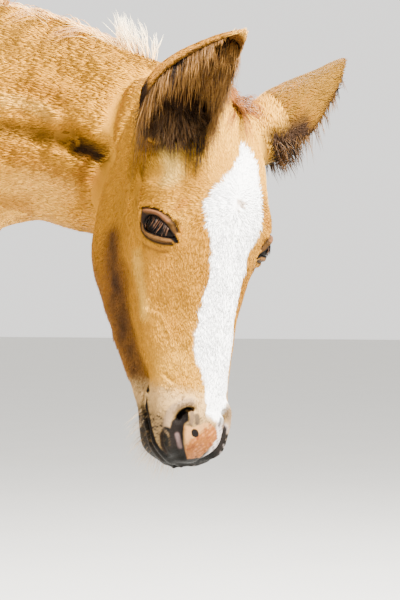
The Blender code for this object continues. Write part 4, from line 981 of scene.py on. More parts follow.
@dataclass
class LegForm:
    """A leg, from inside the body to inside the hoof, and its hoof's place."""

    pair: Pair
    side: Side
    fore_x: float = 0.275
    hind_x: float = -0.37
    fore: Table = (
        (0.9, 0.11, -0.11, 0.07, 0.03, 2.0), (0.84, 0.135, -0.12, 0.076, 0.044, 2.0),
        (0.78, 0.128, -0.11, 0.08, 0.05, 2.0), (0.73, 0.09, -0.098, 0.084, 0.048, 2.1),
        (0.68, 0.064, -0.074, 0.086, 0.043, 2.2), (0.62, 0.052, -0.052, 0.087, 0.039, 2.2),
        (0.55, 0.042, -0.04, 0.086, 0.034, 2.2), (0.48, 0.033, -0.032, 0.084, 0.029, 2.2),
        (0.435, 0.03, -0.028, 0.083, 0.029, 2.5), (0.4, 0.035, -0.03, 0.082, 0.034, 2.7),
        (0.372, 0.034, -0.033, 0.082, 0.033, 2.7), (0.345, 0.026, -0.031, 0.081, 0.026, 2.4),
        (0.31, 0.02, -0.027, 0.08, 0.0195, 2.2), (0.255, 0.018, -0.025, 0.08, 0.018, 2.2),
        (0.212, 0.019, -0.028, 0.08, 0.02, 2.2), (0.18, 0.025, -0.034, 0.08, 0.027, 2.3),
        (0.158, 0.027, -0.032, 0.08, 0.0255, 2.2), (0.13, 0.032, -0.016, 0.08, 0.0215, 2.2),
        (0.098, 0.046, 0.0, 0.08, 0.0225, 2.2), (0.066, 0.068, 0.004, 0.08, 0.03, 2.2),
        (0.03, 0.07, 0.006, 0.08, 0.028, 2.2),
    )
    hind: Table = (
        (0.985, 0.13, -0.08, 0.066, 0.04, 2.0), (0.93, 0.185, -0.104, 0.075, 0.058, 2.0),
        (0.87, 0.205, -0.112, 0.08, 0.064, 2.0), (0.8, 0.203, -0.104, 0.084, 0.062, 2.1),
        (0.745, 0.19, -0.086, 0.088, 0.055, 2.1), (0.7, 0.158, -0.068, 0.09, 0.049, 2.1),
        (0.65, 0.118, -0.053, 0.09, 0.041, 2.1), (0.6, 0.078, -0.048, 0.089, 0.033, 2.1),
        (0.555, 0.04, -0.053, 0.087, 0.027, 2.0), (0.52, 0.015, -0.067, 0.086, 0.025, 2.0),
        (0.488, 0.0, -0.082, 0.085, 0.027, 2.1), (0.455, -0.006, -0.08, 0.084, 0.0305, 2.5),
        (0.425, -0.01, -0.07, 0.083, 0.028, 2.5), (0.385, -0.018, -0.062, 0.082, 0.022, 2.3),
        (0.33, -0.021, -0.06, 0.082, 0.0185, 2.2), (0.26, -0.021, -0.062, 0.082, 0.0185, 2.2),
        (0.215, -0.018, -0.066, 0.082, 0.021, 2.2), (0.185, -0.012, -0.073, 0.082, 0.027, 2.3),
        (0.162, -0.009, -0.069, 0.082, 0.0255, 2.2), (0.132, -0.002, -0.05, 0.082, 0.0215, 2.2),
        (0.1, 0.012, -0.032, 0.082, 0.022, 2.2), (0.068, 0.034, -0.026, 0.082, 0.029, 2.2),
        (0.03, 0.036, -0.024, 0.082, 0.027, 2.2),
    )
    swells: tuple = (
        (Pair.FORE, 0.372, -0.036, 0.0, 0.018, 0.004, False),
        (Pair.FORE, 0.182, 0.0, 0.026, 0.018, 0.003, True),
        (Pair.FORE, 0.56, 0.01, 0.034, 0.045, 0.004, False),
        (Pair.HIND, 0.492, -0.084, 0.0, 0.022, 0.005, False),
        (Pair.HIND, 0.445, -0.028, 0.03, 0.022, 0.003, True),
        (Pair.HIND, 0.185, -0.04, 0.026, 0.018, 0.003, True),
        (Pair.HIND, 0.64, 0.04, 0.038, 0.05, 0.005, False),
    )
    grooves: tuple = (
        (Pair.FORE, 0.325, 0.215, -0.01, 0.019, 0.008, -0.0025),
        (Pair.HIND, 0.395, 0.22, -0.046, 0.019, 0.008, -0.0025),
        (Pair.HIND, 0.6, 0.515, -0.028, 0.026, 0.011, -0.005),
    )

    @property
    def stride(self) -> float:
        """How far ahead of its own place the foot stands."""
        fore, hind = (0.045, -0.03) if self.side is Side.RIGHT else (-0.035, 0.055)
        return fore if self.pair is Pair.FORE else hind

    def rows(self) -> np.ndarray:
        """The leg's sections, lowest first."""
        return np.array(self.fore if self.pair is Pair.FORE else self.hind)[::-1]

    def carried(self, z: float) -> float:
        """The leg's x at a height: its own place and the stride."""
        hang = 0.8 if self.pair is Pair.FORE else 0.86
        own = self.fore_x if self.pair is Pair.FORE else self.hind_x
        return own + self.stride * max(0.0, 1 - max(z, 0.0) / hang)

    def solid(self) -> Solid:
        """The leg's loft."""
        rows, rings = self.rows(), []
        for z in np.linspace(rows[0, 0], rows[-1, 0], 170):
            front, back, y, width, power = flow(rows[:, 0], rows[:, 1:], z)[0]
            x, y = self.carried(z), -y * self.side.value
            rings.append(
                section((x + front, y, z), (x + back, y, z), (0, 1, 0), width, 0.5, power, power)
            )
        return Solid.loft(rings)

    def place(self, z: float, ahead: float, out: float) -> Vector:
        """A point beside the leg's middle."""
        rows = self.rows()
        y = flow(rows[:, 0], rows[:, 3], z)[0, 0]
        return Vector((self.carried(z) + ahead, -(y + out) * self.side.value, z))

    def foot(self, z: float = 0.05) -> Vector:
        """The middle of the foot at a height."""
        rows = self.rows()
        front, back = flow(rows[:, 0], rows[:, 1:3], z)[0]
        return self.place(z, (front + back) / 2, 0)

    def model(self, clay: Clay) -> None:
        """Models the joints' bones and the grooves between bone and tendon."""
        for pair, z, ahead, out, reach, amount, doubled in self.swells:
            if pair is self.pair:
                for way in (1, -1) if doubled else (1,):
                    clay.swell(self.place(z, ahead, out * way), reach, amount)
        for pair, high, low, ahead, out, reach, amount in self.grooves:
            if pair is self.pair:
                for way in (1, -1):
                    clay.crease([self.place(z, ahead, out * way) for z in (high, low)], reach, amount)


@dataclass
class NeckForm:
    """The neck, whose last sections stand in the head's frame."""

    head: HeadForm
    sections: Table = (
        (0.2, 1.068, 0.37, 0.7, 0.0, 0.098), (0.3, 1.088, 0.44, 0.776, 0.0, 0.086),
        (0.43, 1.087, 0.515, 0.798, -0.004, 0.071), (0.56, 1.054, 0.58, 0.784, -0.016, 0.06),
        (0.675, 1.002, 0.64, 0.776, -0.044, 0.055),
    )
    in_head: Table = ((-0.012, -0.01, 0.168, -0.122, 0.056), (0.05, 0.02, 0.2, -0.09, 0.05))
    middles: tuple = ((0.61, -0.076, 0.885), (0.61, 0.022, 0.885))
    # Paths painted on the neck: painted shade in the groove, the throat pit and its core, a wavy zone
    # above and low down, and a painted highlight on the ridge; the groove and the ridge are also pressed
    # into the skin.
    groove: Table = tenths(
        (-3000, 200), (-1800, 300), (-974, 270), (-740, 230), (-520, 180), (-373, 130), (-150, 100)
    )
    pit: Table = tenths(
        (-180, 180), (-72, 192), (108, 60), (264, 24), (361, -24), (276, -144), (168, -240), (60, -144),
        (-72, 0),
    )
    core: Table = tenths((50, -10), (190, -80), (260, -150))
    ridge: Table = tenths((-1300, 640), (-913, 613), (-673, 577), (-433, 481), (-313, 397))
    wavy_shade: Table = tenths((-620, 770), (-400, 690), (-132, 577))
    shade: Table = tenths((-1300, 100), (-793, -24), (-433, -204), (-72, -385), (132, -385))
    strokes: tuple = (
        (((0.25, 0.36), (0.48, 0.36), (0.66, 0.4)), 0.036, 0.005),
        (((0.3, 0.72), (0.48, 0.72), (0.66, 0.74)), 0.03, 0.004),
        (((0.2, 0.12), (0.4, 0.12), (0.6, 0.12), (0.72, 0.12)), 0.03, 0.003),
        (((0.74, 0.6), (0.74, 0.7), (0.74, 0.82)), 0.02, -0.008),
    )

    def __post_init__(self) -> None:
        """Works out the sections' points once."""
        knots = []
        for i, (top_x, top_z, low_x, low_z, y, width) in enumerate(self.sections):
            turn = Matrix.Rotation(self.head.turn * (i / len(self.sections)) ** 1.5, 3, "Z")
            side = turn @ Vector((0, -1, 0))
            knots.append((top_x, y, top_z, low_x, y, low_z, *side, width))
        for top_u, top_v, low_u, low_v, width in self.in_head:
            side = self.head.way(0, 0, 1)
            ends = (*self.head.at(top_u, top_v, 0), *self.head.at(low_u, low_v, 0))
            knots.append((*ends, *side, width))
        self.knots = np.array(knots)
        self.plans, self.wide = {}, {}
        for side, middle in zip(Side, self.middles):
            right, out = Vector((0.94, 0.342 * side.value, 0)), Vector((0.342, -0.94 * side.value, 0))
            for plans, behind in ((self.plans, -0.02), (self.wide, -0.075)):
                plans[side] = Plan(Vector(middle), right, Vector((0, 0, 1)), out, 0.34, behind)

    def section(self, place: float) -> tuple[np.ndarray, np.ndarray, np.ndarray, float]:
        """Top, bottom, side direction and half-width, from 0 at the withers to 1 in the head."""
        row = flow(np.linspace(0, 1, len(self.knots)), self.knots, place)[0]
        return row[0:3], row[3:6], row[6:9], float(row[9])

    def solid(self) -> Solid:
        """The neck's loft from the shoulders into the head."""
        rings = []
        for place in np.linspace(0, 1, 90):
            top, bottom, side, width = self.section(place)
            rings.append(section(top, bottom, side, width, 0.58, 1.6, 2.0))
        return Solid.loft(rings)

    def line(self, side: Side, places: Table) -> list[Vector]:
        """Points on the neck's side, each at a place and at a level from 0 on the crest to 1 below."""
        found = []
        for place, level in places:
            top, bottom, across, width = self.section(place)
            out = 2 * math.sqrt(level * (1 - level))
            found.append(Vector(top + (bottom - top) * level + across * width * out * side.value))
        return found

    def model(self, clay: Clay) -> None:
        """Models the groove along the neck, its long muscles and the bend behind the jaw."""
        for side in Side:
            plan = self.plans[side]
            clay.press(self.wide[side], self.groove, 0.018, -0.0075)
            clay.press(plan, ((-0.013, 0.012), (0.015, -0.005), (0.024, -0.007)), 0.024, -0.013)
            clay.press(self.wide[side], self.ridge, 0.018, 0.0025)
            for places, reach, amount in self.strokes:
                clay.crease(self.line(side, places), reach, amount)

    def planes(self) -> tuple[np.ndarray, np.ndarray, np.ndarray, np.ndarray]:
        """Where the head begins and where the neck begins: a point and a normal for each."""
        throat_top, throat_low = self.head.at(-0.014, -0.01, 0), self.head.at(0.185, -0.155, 0)
        normal = self.head.way(0, 0, 1).cross(throat_low - throat_top).normalized()
        if normal.x < 0:
            normal = -normal
        top, bottom, side, _ = self.section(0.22)
        slope = Vector(side).cross(Vector(bottom - top)).normalized()
        if slope.x < 0:
            slope = -slope
        middle = (throat_top + throat_low) / 2
        return np.array(middle), np.array(normal), (top + bottom) / 2, np.array(slope)


class Paint:
    """Colours laid over each other on the skin's points."""

    around = 0.04

    def __init__(self, points: np.ndarray, colour: np.ndarray) -> None:
        """Starts with one colour for each point, and no bare skin."""
        self.points, self.colour, self.bare = points, colour, np.zeros(len(points))

    def lay(self, over: tuple[int, int, int], share: np.ndarray) -> None:
        """Lays a colour over what is there."""
        self.colour = self.colour + (srgb(*over) - self.colour) * np.clip(share, 0, 1)[:, None]

    def strip(self, share: np.ndarray) -> None:
        """Bares the skin."""
        self.bare = np.maximum(self.bare, share)

    def far(self, path: list[Vector]) -> np.ndarray:
        """Each point's distance from a path, where it is near it."""
        near, far = near_path(self.points, path, self.around)
        found = np.full(len(self.points), 1.0)
        found[near] = far
        return found

    def band(self, path: list[Vector], width: float, soft: float) -> np.ndarray:
        """A share of 1 within a width of a path, fading over a soft edge."""
        return 1 - smooth_step(self.far(path), width, width + soft)

    def strokes(self, plan: Plan, mine: np.ndarray, *rows: tuple) -> None:
        """Lays strokes in a flat view: the colour, path, width, soft edge and share of each."""
        for colour, path, width, soft, share in rows:
            self.lay(colour, mine * plan.band(self.points, path, width, soft) * share)


@dataclass
class Foal:
    """All of the foal's forms in one frame, with what the skin knows of itself."""

    voxel: float = 0.0032
    budget: int = 66000
    gold: tuple[int, int, int] = (188, 131, 28)
    pale: tuple[int, int, int] = (208, 156, 64)
    deep: tuple[int, int, int] = (124, 76, 12)
    brown: tuple[int, int, int] = (46, 26, 8)
    cream: tuple[int, int, int] = (234, 206, 156)
    white: tuple[int, int, int] = (251, 250, 248)

    def __post_init__(self) -> None:
        """Sets out the forms, and the shift from their frame to the model's."""
        self.head = HeadForm()
        self.neck = NeckForm(self.head)
        self.trunk = TrunkForm()
        self.legs = [LegForm(pair, side) for pair in Pair for side in Side]
        self.eyes = [EyeForm(self.head, side) for side in Side]
        self.ears = [EarForm(self.head, side) for side in Side]
        low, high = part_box("eye_right")
        centre = (np.array(low) + np.array(high)) / 2
        self.shift = centre - np.array(self.eyes[0].middle)
        self.bounds = self.neck.planes()

    def regions(self, points: np.ndarray) -> np.ndarray:
        """The region of each point."""
        middle, normal, base, slope = self.bounds
        found = np.full(len(points), Region.TRUNK.value)
        x, z = points[:, 0], points[:, 2]
        found[((points - base) @ slope > 0) & (z > 0.7)] = Region.NECK.value
        found[((points - middle) @ normal > 0) & (z > 0.45) & (x > 0.5)] = Region.HEAD.value
        found[(z < 0.66) & (x < 0.5)] = Region.LEG.value
        for ear in self.ears:
            share, radius, _ = ear.local(points)
            found[(share > 0.1) & (share < 1.1) & (radius < 1.25)] = Region.EAR.value
        return found

    def depth(self, points: np.ndarray) -> np.ndarray:
        """How deep the coat is at each point."""
        middle, normal, _, _ = self.bounds
        legs = smooth_step(points[:, 2], 0.55, 0.7)
        body = 0.002 + 0.0022 * legs
        ahead = smooth_step((points - middle) @ normal, -0.04, 0.03) * (points[:, 0] > 0.5)
        u, v, _ = self.head.local(points).T
        face = 0.001 + 0.0016 * smooth_step(-v, -0.02, 0.06)
        face *= 1 - 0.9 * smooth_step(u, 0.335, 0.365)
        for eye in self.eyes:
            near = np.linalg.norm(points - np.array(eye.middle), axis=1)
            face *= 0.05 + 0.95 * smooth_step(near, 0.027, 0.042)
        return body * (1 - ahead) + face * ahead

    def lie(self, points: np.ndarray, normals: np.ndarray, regions: np.ndarray) -> np.ndarray:
        """The way that the coat lies at each point, along the skin.

        Args:
            points: places on the skin.
            normals: the way that the skin faces there.
            regions: each place's region.

        Returns:
            One unit direction for each place.
        """
        ways = np.tile(np.array([-0.85, 0.0, -0.35]), (len(points), 1))
        ways[:, 2] -= 0.9 * smooth_step(0.95 - points[:, 2], 0.0, 0.35)
        ways[regions == Region.LEG.value] = (-0.06, 0.0, -1.0)
        run = unit(self.neck.knots[1:, 0:3] - self.neck.knots[:-1, 0:3])
        along = np.array(
            [np.interp(points[:, 0], self.neck.knots[:-1, 0], run[:, i]) for i in range(3)]
        ).T
        neck = regions == Region.NECK.value
        ways[neck] = (-along * 0.95 + np.array([0, 0, -0.3]))[neck]
        local = self.head.local(points)
        u, v, w = local.T
        away = u - 0.148
        down = np.where(away > 0, smooth_step(away, 0.0, 0.05), -smooth_step(-away, 0.0, 0.03))
        spread = np.exp(-((away / 0.05) ** 2)) * np.tanh(w / 0.02)
        cheek = smooth_step(-v, 0.0, 0.08)
        down = down * (1 - cheek) + cheek * 0.75
        head_ways = np.stack([down, -0.75 * cheek, spread * 0.9 * (1 - cheek)], 1)
        head_ways = head_ways @ np.array(self.head.frame.to_3x3()).T
        head = regions == Region.HEAD.value
        ways[head] = head_ways[head]
        for ear in self.ears:
            mine = (regions == Region.EAR.value) & ((w > 0) == (ear.side is Side.RIGHT))
            ways[mine] = np.array(ear.axis)
        ways = ways - normals * (ways * normals).sum(1, keepdims=True)
        return unit(ways)

    def colours(self, points: np.ndarray, regions: np.ndarray) -> tuple[np.ndarray, np.ndarray]:
        """The colour of skin and coat at each point, and how bare the skin is there.

        Args:
            points: places on the skin.
            regions: each place's region.

        Returns:
            Linear colours, and a share from 0 for coat to 1 for bare skin.
        """
        pick = np.clip(0.62 + 0.3 * ripple(points, 0.16, 3) + 0.22 * ripple(points, 0.03, 4), 0, 1)
        low, high = srgb(*self.deep), srgb(*self.gold)
        paint = Paint(points, low + (high - low) * (0.4 + 0.6 * pick[:, None]))
        local = self.head.local(points)
        self.body_marks(paint, regions)
        head = (regions == Region.HEAD.value).astype(float)
        self.face_marks(paint, head, local)
        self.muzzle_marks(paint, head, local)
        for eye in self.eyes:
            self.lid_marks(paint, head, eye)
        for ear in self.ears:
            share, radius, turn = ear.local(points)
            # Dark fringe hair and painted shade at the front of each ear's root, laid after the ear's own
            # marks.
            front = smooth_step(np.abs(turn), 1.1, 1.7) * smooth_step(share, -0.16, -0.06)
            front = front * smooth_step(0.3 - share, 0, 0.08) * smooth_step(1.18 - radius, 0, 0.14)
            mine = (local[:, 2] > 0) == (ear.side is Side.RIGHT)
            self.ear_marks(paint, (regions == Region.EAR.value) & mine, ear)
            paint.lay((38, 24, 13), front)
        return paint.colour, paint.bare

    def body_marks(self, paint: Paint, regions: np.ndarray) -> None:
        """Paints the pale belly and legs, and on the neck painted shade in its groove, pit and dark folds
        and painted highlights on its ridge and lower bulge.
        """
        x, _, z = paint.points.T
        trunk, neck = regions == Region.TRUNK.value, regions == Region.NECK.value
        paint.lay(self.pale, trunk * smooth_step(0.86 - z, 0.0, 0.22) * 0.7)
        paint.lay(self.pale, (regions == Region.LEG.value) * smooth_step(0.6 - z, 0.0, 0.2) * 0.5)
        paint.lay(self.cream, smooth_step(0.42 - z, 0.0, 0.22) * (x < 0.5) * 0.65)
        paint.lay(self.pale, neck * smooth_step(z, 0.97, 1.04) * 0.15)
        paint.lay(
            self.pale, neck * smooth_step(0.88 - z, 0.0, 0.04) * smooth_step(0.62 - x, 0, 0.06) * 0.55
        )
        spots = paint.points
        neck = neck | (trunk & (x > 0.34) & (z > 0.8))
        for side in Side:
            form = self.neck
            plan, wide = form.plans[side], form.wide[side]
            # A painted highlight along the ridge above the groove, and painted shade in a wavy zone above
            # the ridge, low on the neck and in the groove.
            paint.strokes(
                wide, neck, ((206, 154, 60), form.ridge, 0.002, 0.01, 0.6),
                (self.deep, form.wavy_shade, 0.003, 0.014, 0.45), (self.deep, form.shade, 0.003, 0.016, 0.55),
                (self.brown, form.groove, 0.003, 0.014, 0.62),
            )
            # Painted shade in the throat pit, its darkest core and the fold below it.
            pit = plan.inside(spots, form.pit) + 0.0015 * ripple(spots, 0.008, 17)
            paint.lay(self.brown, neck * smooth_step(pit, -0.008, 0.001) * 0.72)
            fold = tenths((168, -220), (150, -360))
            paint.strokes(
                plan, neck, ((28, 14, 4), form.core, 0.004, 0.008, 0.97),
                (self.deep, fold, 0.002, 0.012, 0.8),
            )
            # A painted highlight on the lower bulge of the neck, and painted shade lower down and further
            # back.
            sheen, low_neck_shade = tenths((-600, -440), (-130, -520)), tenths((-1200, -600), (-700, -700))
            paint.strokes(
                wide, neck, ((206, 150, 60), sheen, 0.006, 0.02, 0.5), (self.deep, low_neck_shade, 0.006, 0.018, 0.6)
            )
        # Painted shade in a band just behind the head, low on the neck, where it meets the jaw.
        middle, normal, _, _ = self.bounds
        behind = (paint.points - middle) @ normal
        paint.lay(self.deep, neck * np.exp(-(((behind + 0.006) / 0.018) ** 2)) * (z < 0.86) * 0.4)

    def face_marks(self, paint: Paint, head: np.ndarray, local: np.ndarray) -> None:
        """Paints the paler forehead and nose, the facial crest and the brow as painted highlights, painted
        shade on the lower cheek and in the dark lines of cheek, temple and orbit, and the white blaze.
        """
        u, v, w = local.T
        spots = paint.points
        drop = self.head.table(u)[:, 0] - v
        front = smooth_step(0.075 - drop, 0, 0.05)
        paint.lay((146, 98, 16), head * 0.75)
        # A painted highlight on the front of the face, strongest on the forehead and down the nose.
        front_highlight = 0.12 + 0.55 * np.exp(-(((u - 0.08) / 0.045) ** 2)) + 0.28 * smooth_step(u, 0.27, 0.34)
        paint.lay((196, 146, 46), head * front * (front_highlight + 0.18 * ripple(spots, 0.045, 7)))
        paint.lay((132, 86, 12), head * front * np.exp(-(((u - 0.235) / 0.055) ** 2)) * 0.7)
        # Painted shade on the lower cheek and the side of the jaw.
        paint.lay((104, 64, 14), head * smooth_step(drop, 0.06, 0.13) * smooth_step(u, 0.15, 0.24) * 0.85)
        for side in Side:
            # Darker hair and painted shade in the groove behind the jaw.
            jaw = self.head.line(side, self.head.jaw)
            paint.lay((92, 58, 20), head * paint.band(jaw, 0.008, 0.02) * 0.9)
            paint.lay(
                (48, 30, 16),
                head * paint.band(jaw, 0.002, 0.012) * (0.68 + 0.3 * ripple(spots, 0.018, 19)),
            )
            # Dark fringe hair and painted shade under the ear at the temple, painted shade along the
            # orbit's edge, painted highlights on the facial crest and the brow, and brown streaks.
            for colour, path, width, soft, share in (
                ((60, 36, 20), self.head.temple, 0.003, 0.01, 0.5),
                (self.brown, self.head.orbit[:3], 0.0006, 0.005, 0.55),
                ((206, 160, 64), self.head.crest, 0.003, 0.014, 0.7),
                ((214, 172, 84), self.head.brow, 0.004, 0.016, 0.8),
                (self.deep, self.head.streaks[:2], 0.001, 0.007, 0.7),
                (self.deep, self.head.streaks[2:], 0.001, 0.007, 0.7),
            ):
                paint.lay(colour, head * paint.band(self.head.line(side, path), width, soft) * share)
        rows = np.array(self.head.blaze)
        near, away = flow(rows[:, 0], rows[:, 1:], u).T
        jag = 0.0013 * ripple(spots, 0.007, 11) + 0.0014 * ripple(spots, 0.022, 12)
        edge = np.minimum(near - w, w - away) + jag
        blaze = head * smooth_step(edge, -0.0009, 0.0012) * smooth_step(u, 0.083, 0.087) * (drop < 0.05)
        blaze = blaze * (1 - smooth_step(u + 0.3 * (w + 0.01) + jag, 0.392, 0.402))
        paint.lay(self.white, blaze)
        whorl = np.hypot(u - 0.153, w + 0.006)
        speck = head * smooth_step(0.006 - whorl + 0.004 * ripple(spots, 0.006, 13), 0, 0.004)
        paint.lay((140, 104, 66), speck * 0.75)
        self.blazed = blaze

    def muzzle_marks(self, paint: Paint, head: np.ndarray, local: np.ndarray) -> None:
        """Paints the mottled muzzle, its pink snip, the nostrils and the lips."""
        u, v, w = local.T
        spots = paint.points
        drop = self.head.table(u)[:, 0] - v
        rough = ripple(spots, 0.0042, 21) + 0.6 * ripple(spots, 0.0085, 22)
        reach = u + 0.2 * (drop - 0.03) + 0.003 * rough
        muzzle = head * smooth_step(reach, 0.35, 0.372) * (1 - self.blazed)
        paint.lay((162, 130, 82), muzzle * 0.92)
        paint.strip(muzzle)
        low = smooth_step(u + 0.16 * drop, 0.38, 0.408)
        paint.lay((78, 62, 42), muzzle * low * (0.8 + 0.25 * np.clip(rough, -1, 1)))
        paint.lay((24, 18, 12), muzzle * smooth_step(rough, 0.55, 1.05) * (0.15 + 0.75 * low))
        paint.lay((18, 15, 10), muzzle * smooth_step(-v, 0.02, 0.034) * low * (1.05 + 0.25 * rough))
        # Near-black towards the lips' end: dark skin and painted shade.
        paint.lay((8, 7, 5), muzzle * smooth_step(u, 0.424, 0.434) * (1.1 + 0.1 * rough))
        far_side = head * smooth_step(u, 0.392, 0.402) * smooth_step(-w, 0.008, 0.015) * (v > -0.02)
        paint.lay((176, 164, 160), far_side * 0.85)
        paint.lay((64, 54, 56), far_side * smooth_step(rough, 0.15, 0.7) * 0.75)
        self.snip_marks(paint, head, rough)
        for side in Side:
            mine = head * (w * side.value > -0.001)
            self.nostril_marks(paint, mine, muzzle, self.head.plans[side], rough)

    def snip_marks(self, paint: Paint, head: np.ndarray, rough: np.ndarray) -> None:
        """Paints the snip, cream above and flesh-pink below, with its dark spot."""
        plan, spots = self.head.plans[Side.RIGHT], paint.points
        snip = head * smooth_step(plan.inside(spots, self.head.snip) + 0.0006 * rough, -0.0006, 0.0008)
        paint.lay((150, 108, 62), snip)
        blush = snip * smooth_step(plan.inside(spots, self.head.blush) + 0.002 * rough, -0.002, 0.004)
        paint.lay((112, 66, 24), blush)
        paint.lay((166, 106, 62), blush * smooth_step(ripple(spots, 0.0038, 43), 0.25, 0.8) * 0.45)
        paint.lay((92, 44, 22), blush * smooth_step(ripple(spots, 0.0045, 44), 0.45, 0.9) * 0.6)
        a, b = self.head.spot
        dot = plan.far(spots, ((a, b - 0.0006), (a, b + 0.0006)))
        paint.lay((13, 10, 8), head * smooth_step(0.0048 - dot + 0.0004 * rough, 0, 0.001))

    def nostril_marks(
        self, paint: Paint, mine: np.ndarray, muzzle: np.ndarray, plan: Plan, rough: np.ndarray
    ) -> None:
        """Paints one side's nostril, mouth line, lip and freckles, with painted shade in the nostril's
        opening, its creases, the mouth line and its corner, dark skin and painted shade in the hollow and
        along the muzzle's bottom, and a painted wet highlight in the hollow.
        """
        head, spots = self.head, paint.points
        # A near-black for painted shade in the nostril's opening, the mouth line and its corner, and a
        # near-black for dark skin and painted shade in the hollow's depth and along the muzzle's bottom.
        dark, dark_skin_and_shade = (3, 2, 1), (7, 6, 4)
        for a, b in head.freckles:
            near = plan.far(spots, ((a, b), (a + 0.0006, b)))
            paint.lay((58, 42, 26), muzzle * smooth_step(0.0022 - near, 0, 0.001) * 0.9)
        # The rim's upper part pale, and painted shade along its lower part and below it.
        low = ((-0.013, -0.001), *head.rim[6:], (-0.004, -0.032))
        paint.strokes(
            plan, mine, ((120, 97, 72), head.rim[:6], 0.0032, 0.0026, 0.9),
            ((11, 9, 6), low, 0.0046, 0.0036, 1.0 + 0.3 * rough),
        )
        # Dark skin and painted shade in the nostril's hollow.
        hollow = plan.inside(spots, head.trough)
        paint.lay((17, 13, 11), mine * smooth_step(hollow, -0.0012, 0.0015))
        # A painted wet highlight on the hollow's shine, painted shade in its depth, in the slit and in the
        # fold, a paler flap and a grey patch.
        depth = tenths((-40, -260), (40, -340))
        paint.strokes(
            plan, mine, ((92, 74, 72), head.shine, 0.0008, 0.0032, smooth_step(hollow, 0.0, 0.003) * 0.8),
            (dark_skin_and_shade, depth, 0.003, 0.008, smooth_step(hollow, 0.0, 0.002)),
            ((86, 68, 50), head.flap, 0.0014, 0.0022, 0.9),
            ((48, 40, 34), head.grey, 0.0016, 0.0026, 0.85), (dark, head.slit, 0.0007, 0.0022, 1),
            ((24, 15, 8), head.fold, 0.0006, 0.002, 0.85),
        )
        # Dark skin and painted shade along the muzzle's bottom.
        edge = smooth_step(plan.inside(spots, head.bottom) + 0.0012 * rough, -0.0014, 0.0014)
        paint.lay(dark_skin_and_shade, mine * edge * (1.05 + 0.15 * rough))
        # Dark lip edges, and painted shade in the mouth line and at the mouth's corner.
        paint.strokes(
            plan, mine, ((20, 16, 11), head.lip, 0.006, 0.004, 1.05 + 0.25 * rough),
            (dark, head.mouth_line, 0.0016, 0.0018, 1), (dark, head.corner, 0.0016, 0.0018, 1),
        )

    def lid_marks(self, paint: Paint, head: np.ndarray, eye: EyeForm) -> None:
        """Paints the pinkish lids, their dark creases with painted shade, their dark margins, and painted
        shade in the dark inner corner.
        """
        plan, spots = eye.plan, paint.points
        gap = plan.far(spots, eye.outline())
        band = head * smooth_step(plan.inside(spots, eye.lids()), -0.001, 0.0012)
        paint.lay((42, 26, 10), band * 0.95)
        paint.strip(band)
        upper = plan.band(spots, eye.upper, 0.002, 0.003)
        pale = plan.band(spots, eye.lower, 0.004, 0.0025) * (1 - upper)
        paint.lay((92, 62, 30), band * pale * 0.8)
        paint.strokes(plan, band, ((96, 60, 36), eye.pink, 0.001, 0.0024, 0.85))
        paint.lay((30, 19, 13), head * smooth_step(plan.inside(spots, eye.corner), -0.001, 0.002))
        paint.lay((6, 4, 3), head * (1 - smooth_step(gap, 0.0006, 0.0018)))
        # Painted shade in the lid creases, along the faint crease below and in the inner corner's groove.
        paint.strokes(
            plan, head, *(((14, 7, 3), crease, 0.0005, 0.0018, 0.85) for crease in eye.creases),
            ((86, 52, 16), eye.faint, 0.0006, 0.0024, 0.6),
            ((4, 3, 3), tenths((195, 8), (235, -20)), 0.0018, 0.0016, 1),
            ((50, 26, 6), tenths((135, 200), (175, 180)), 0.0008, 0.003, 0.8),
        )

    def ear_marks(self, paint: Paint, mine: np.ndarray, ear: EarForm) -> None:
        """Paints an ear's golden back, brown rims and base, dark depths and pale tip, with painted shade
        deep in the cup and on the lower edge near the root, and the far ear darker as painted shade.
        """
        share, radius, turn = ear.local(paint.points)
        inside = mine * (1 - smooth_step(radius, 0.9, 0.97))
        wraps = np.interp(share, [r[0] for r in ear.profile], [math.radians(r[2]) for r in ear.profile])
        rim = mine * smooth_step(np.abs(turn) - wraps, -0.3, -0.05) * (radius > 0.5)
        rough = ripple(paint.points, 0.01, 61)
        # The far ear's back is painted darker than the near one's, as painted shade.
        back = (138, 92, 20) if ear.side is Side.RIGHT else (84, 58, 10)
        paint.lay(back, mine.astype(float) * 0.9)
        paint.lay(self.deep, mine * (0.2 + 0.3 * rough) * smooth_step(0.55 - share, 0, 0.4))
        paint.lay(self.brown, rim * (0.7 + 0.2 * rough) * smooth_step(0.97 - share, 0, 0.1))
        # The cup's inside darker brown, and darkest deep towards the root as painted shade.
        paint.lay((92, 56, 22), inside * 0.95)
        paint.lay((40, 25, 13), inside * smooth_step(0.46 - share + 0.08 * rough, 0.0, 0.2))
        # Dark fur and painted shade on the lower edge near the root.
        low = mine * smooth_step(0.24 - share + 0.04 * rough, 0.0, 0.1)
        low = low * smooth_step(np.abs(turn), 1.2, 1.7)
        paint.lay((40, 24, 12), low * 0.85)
        # The far ear's tip is painted darker than the near one's, as painted shade.
        tip = self.pale if ear.side is Side.RIGHT else (96, 62, 16)
        paint.lay(tip, mine * smooth_step(share, 0.9, 0.97) * 0.8)


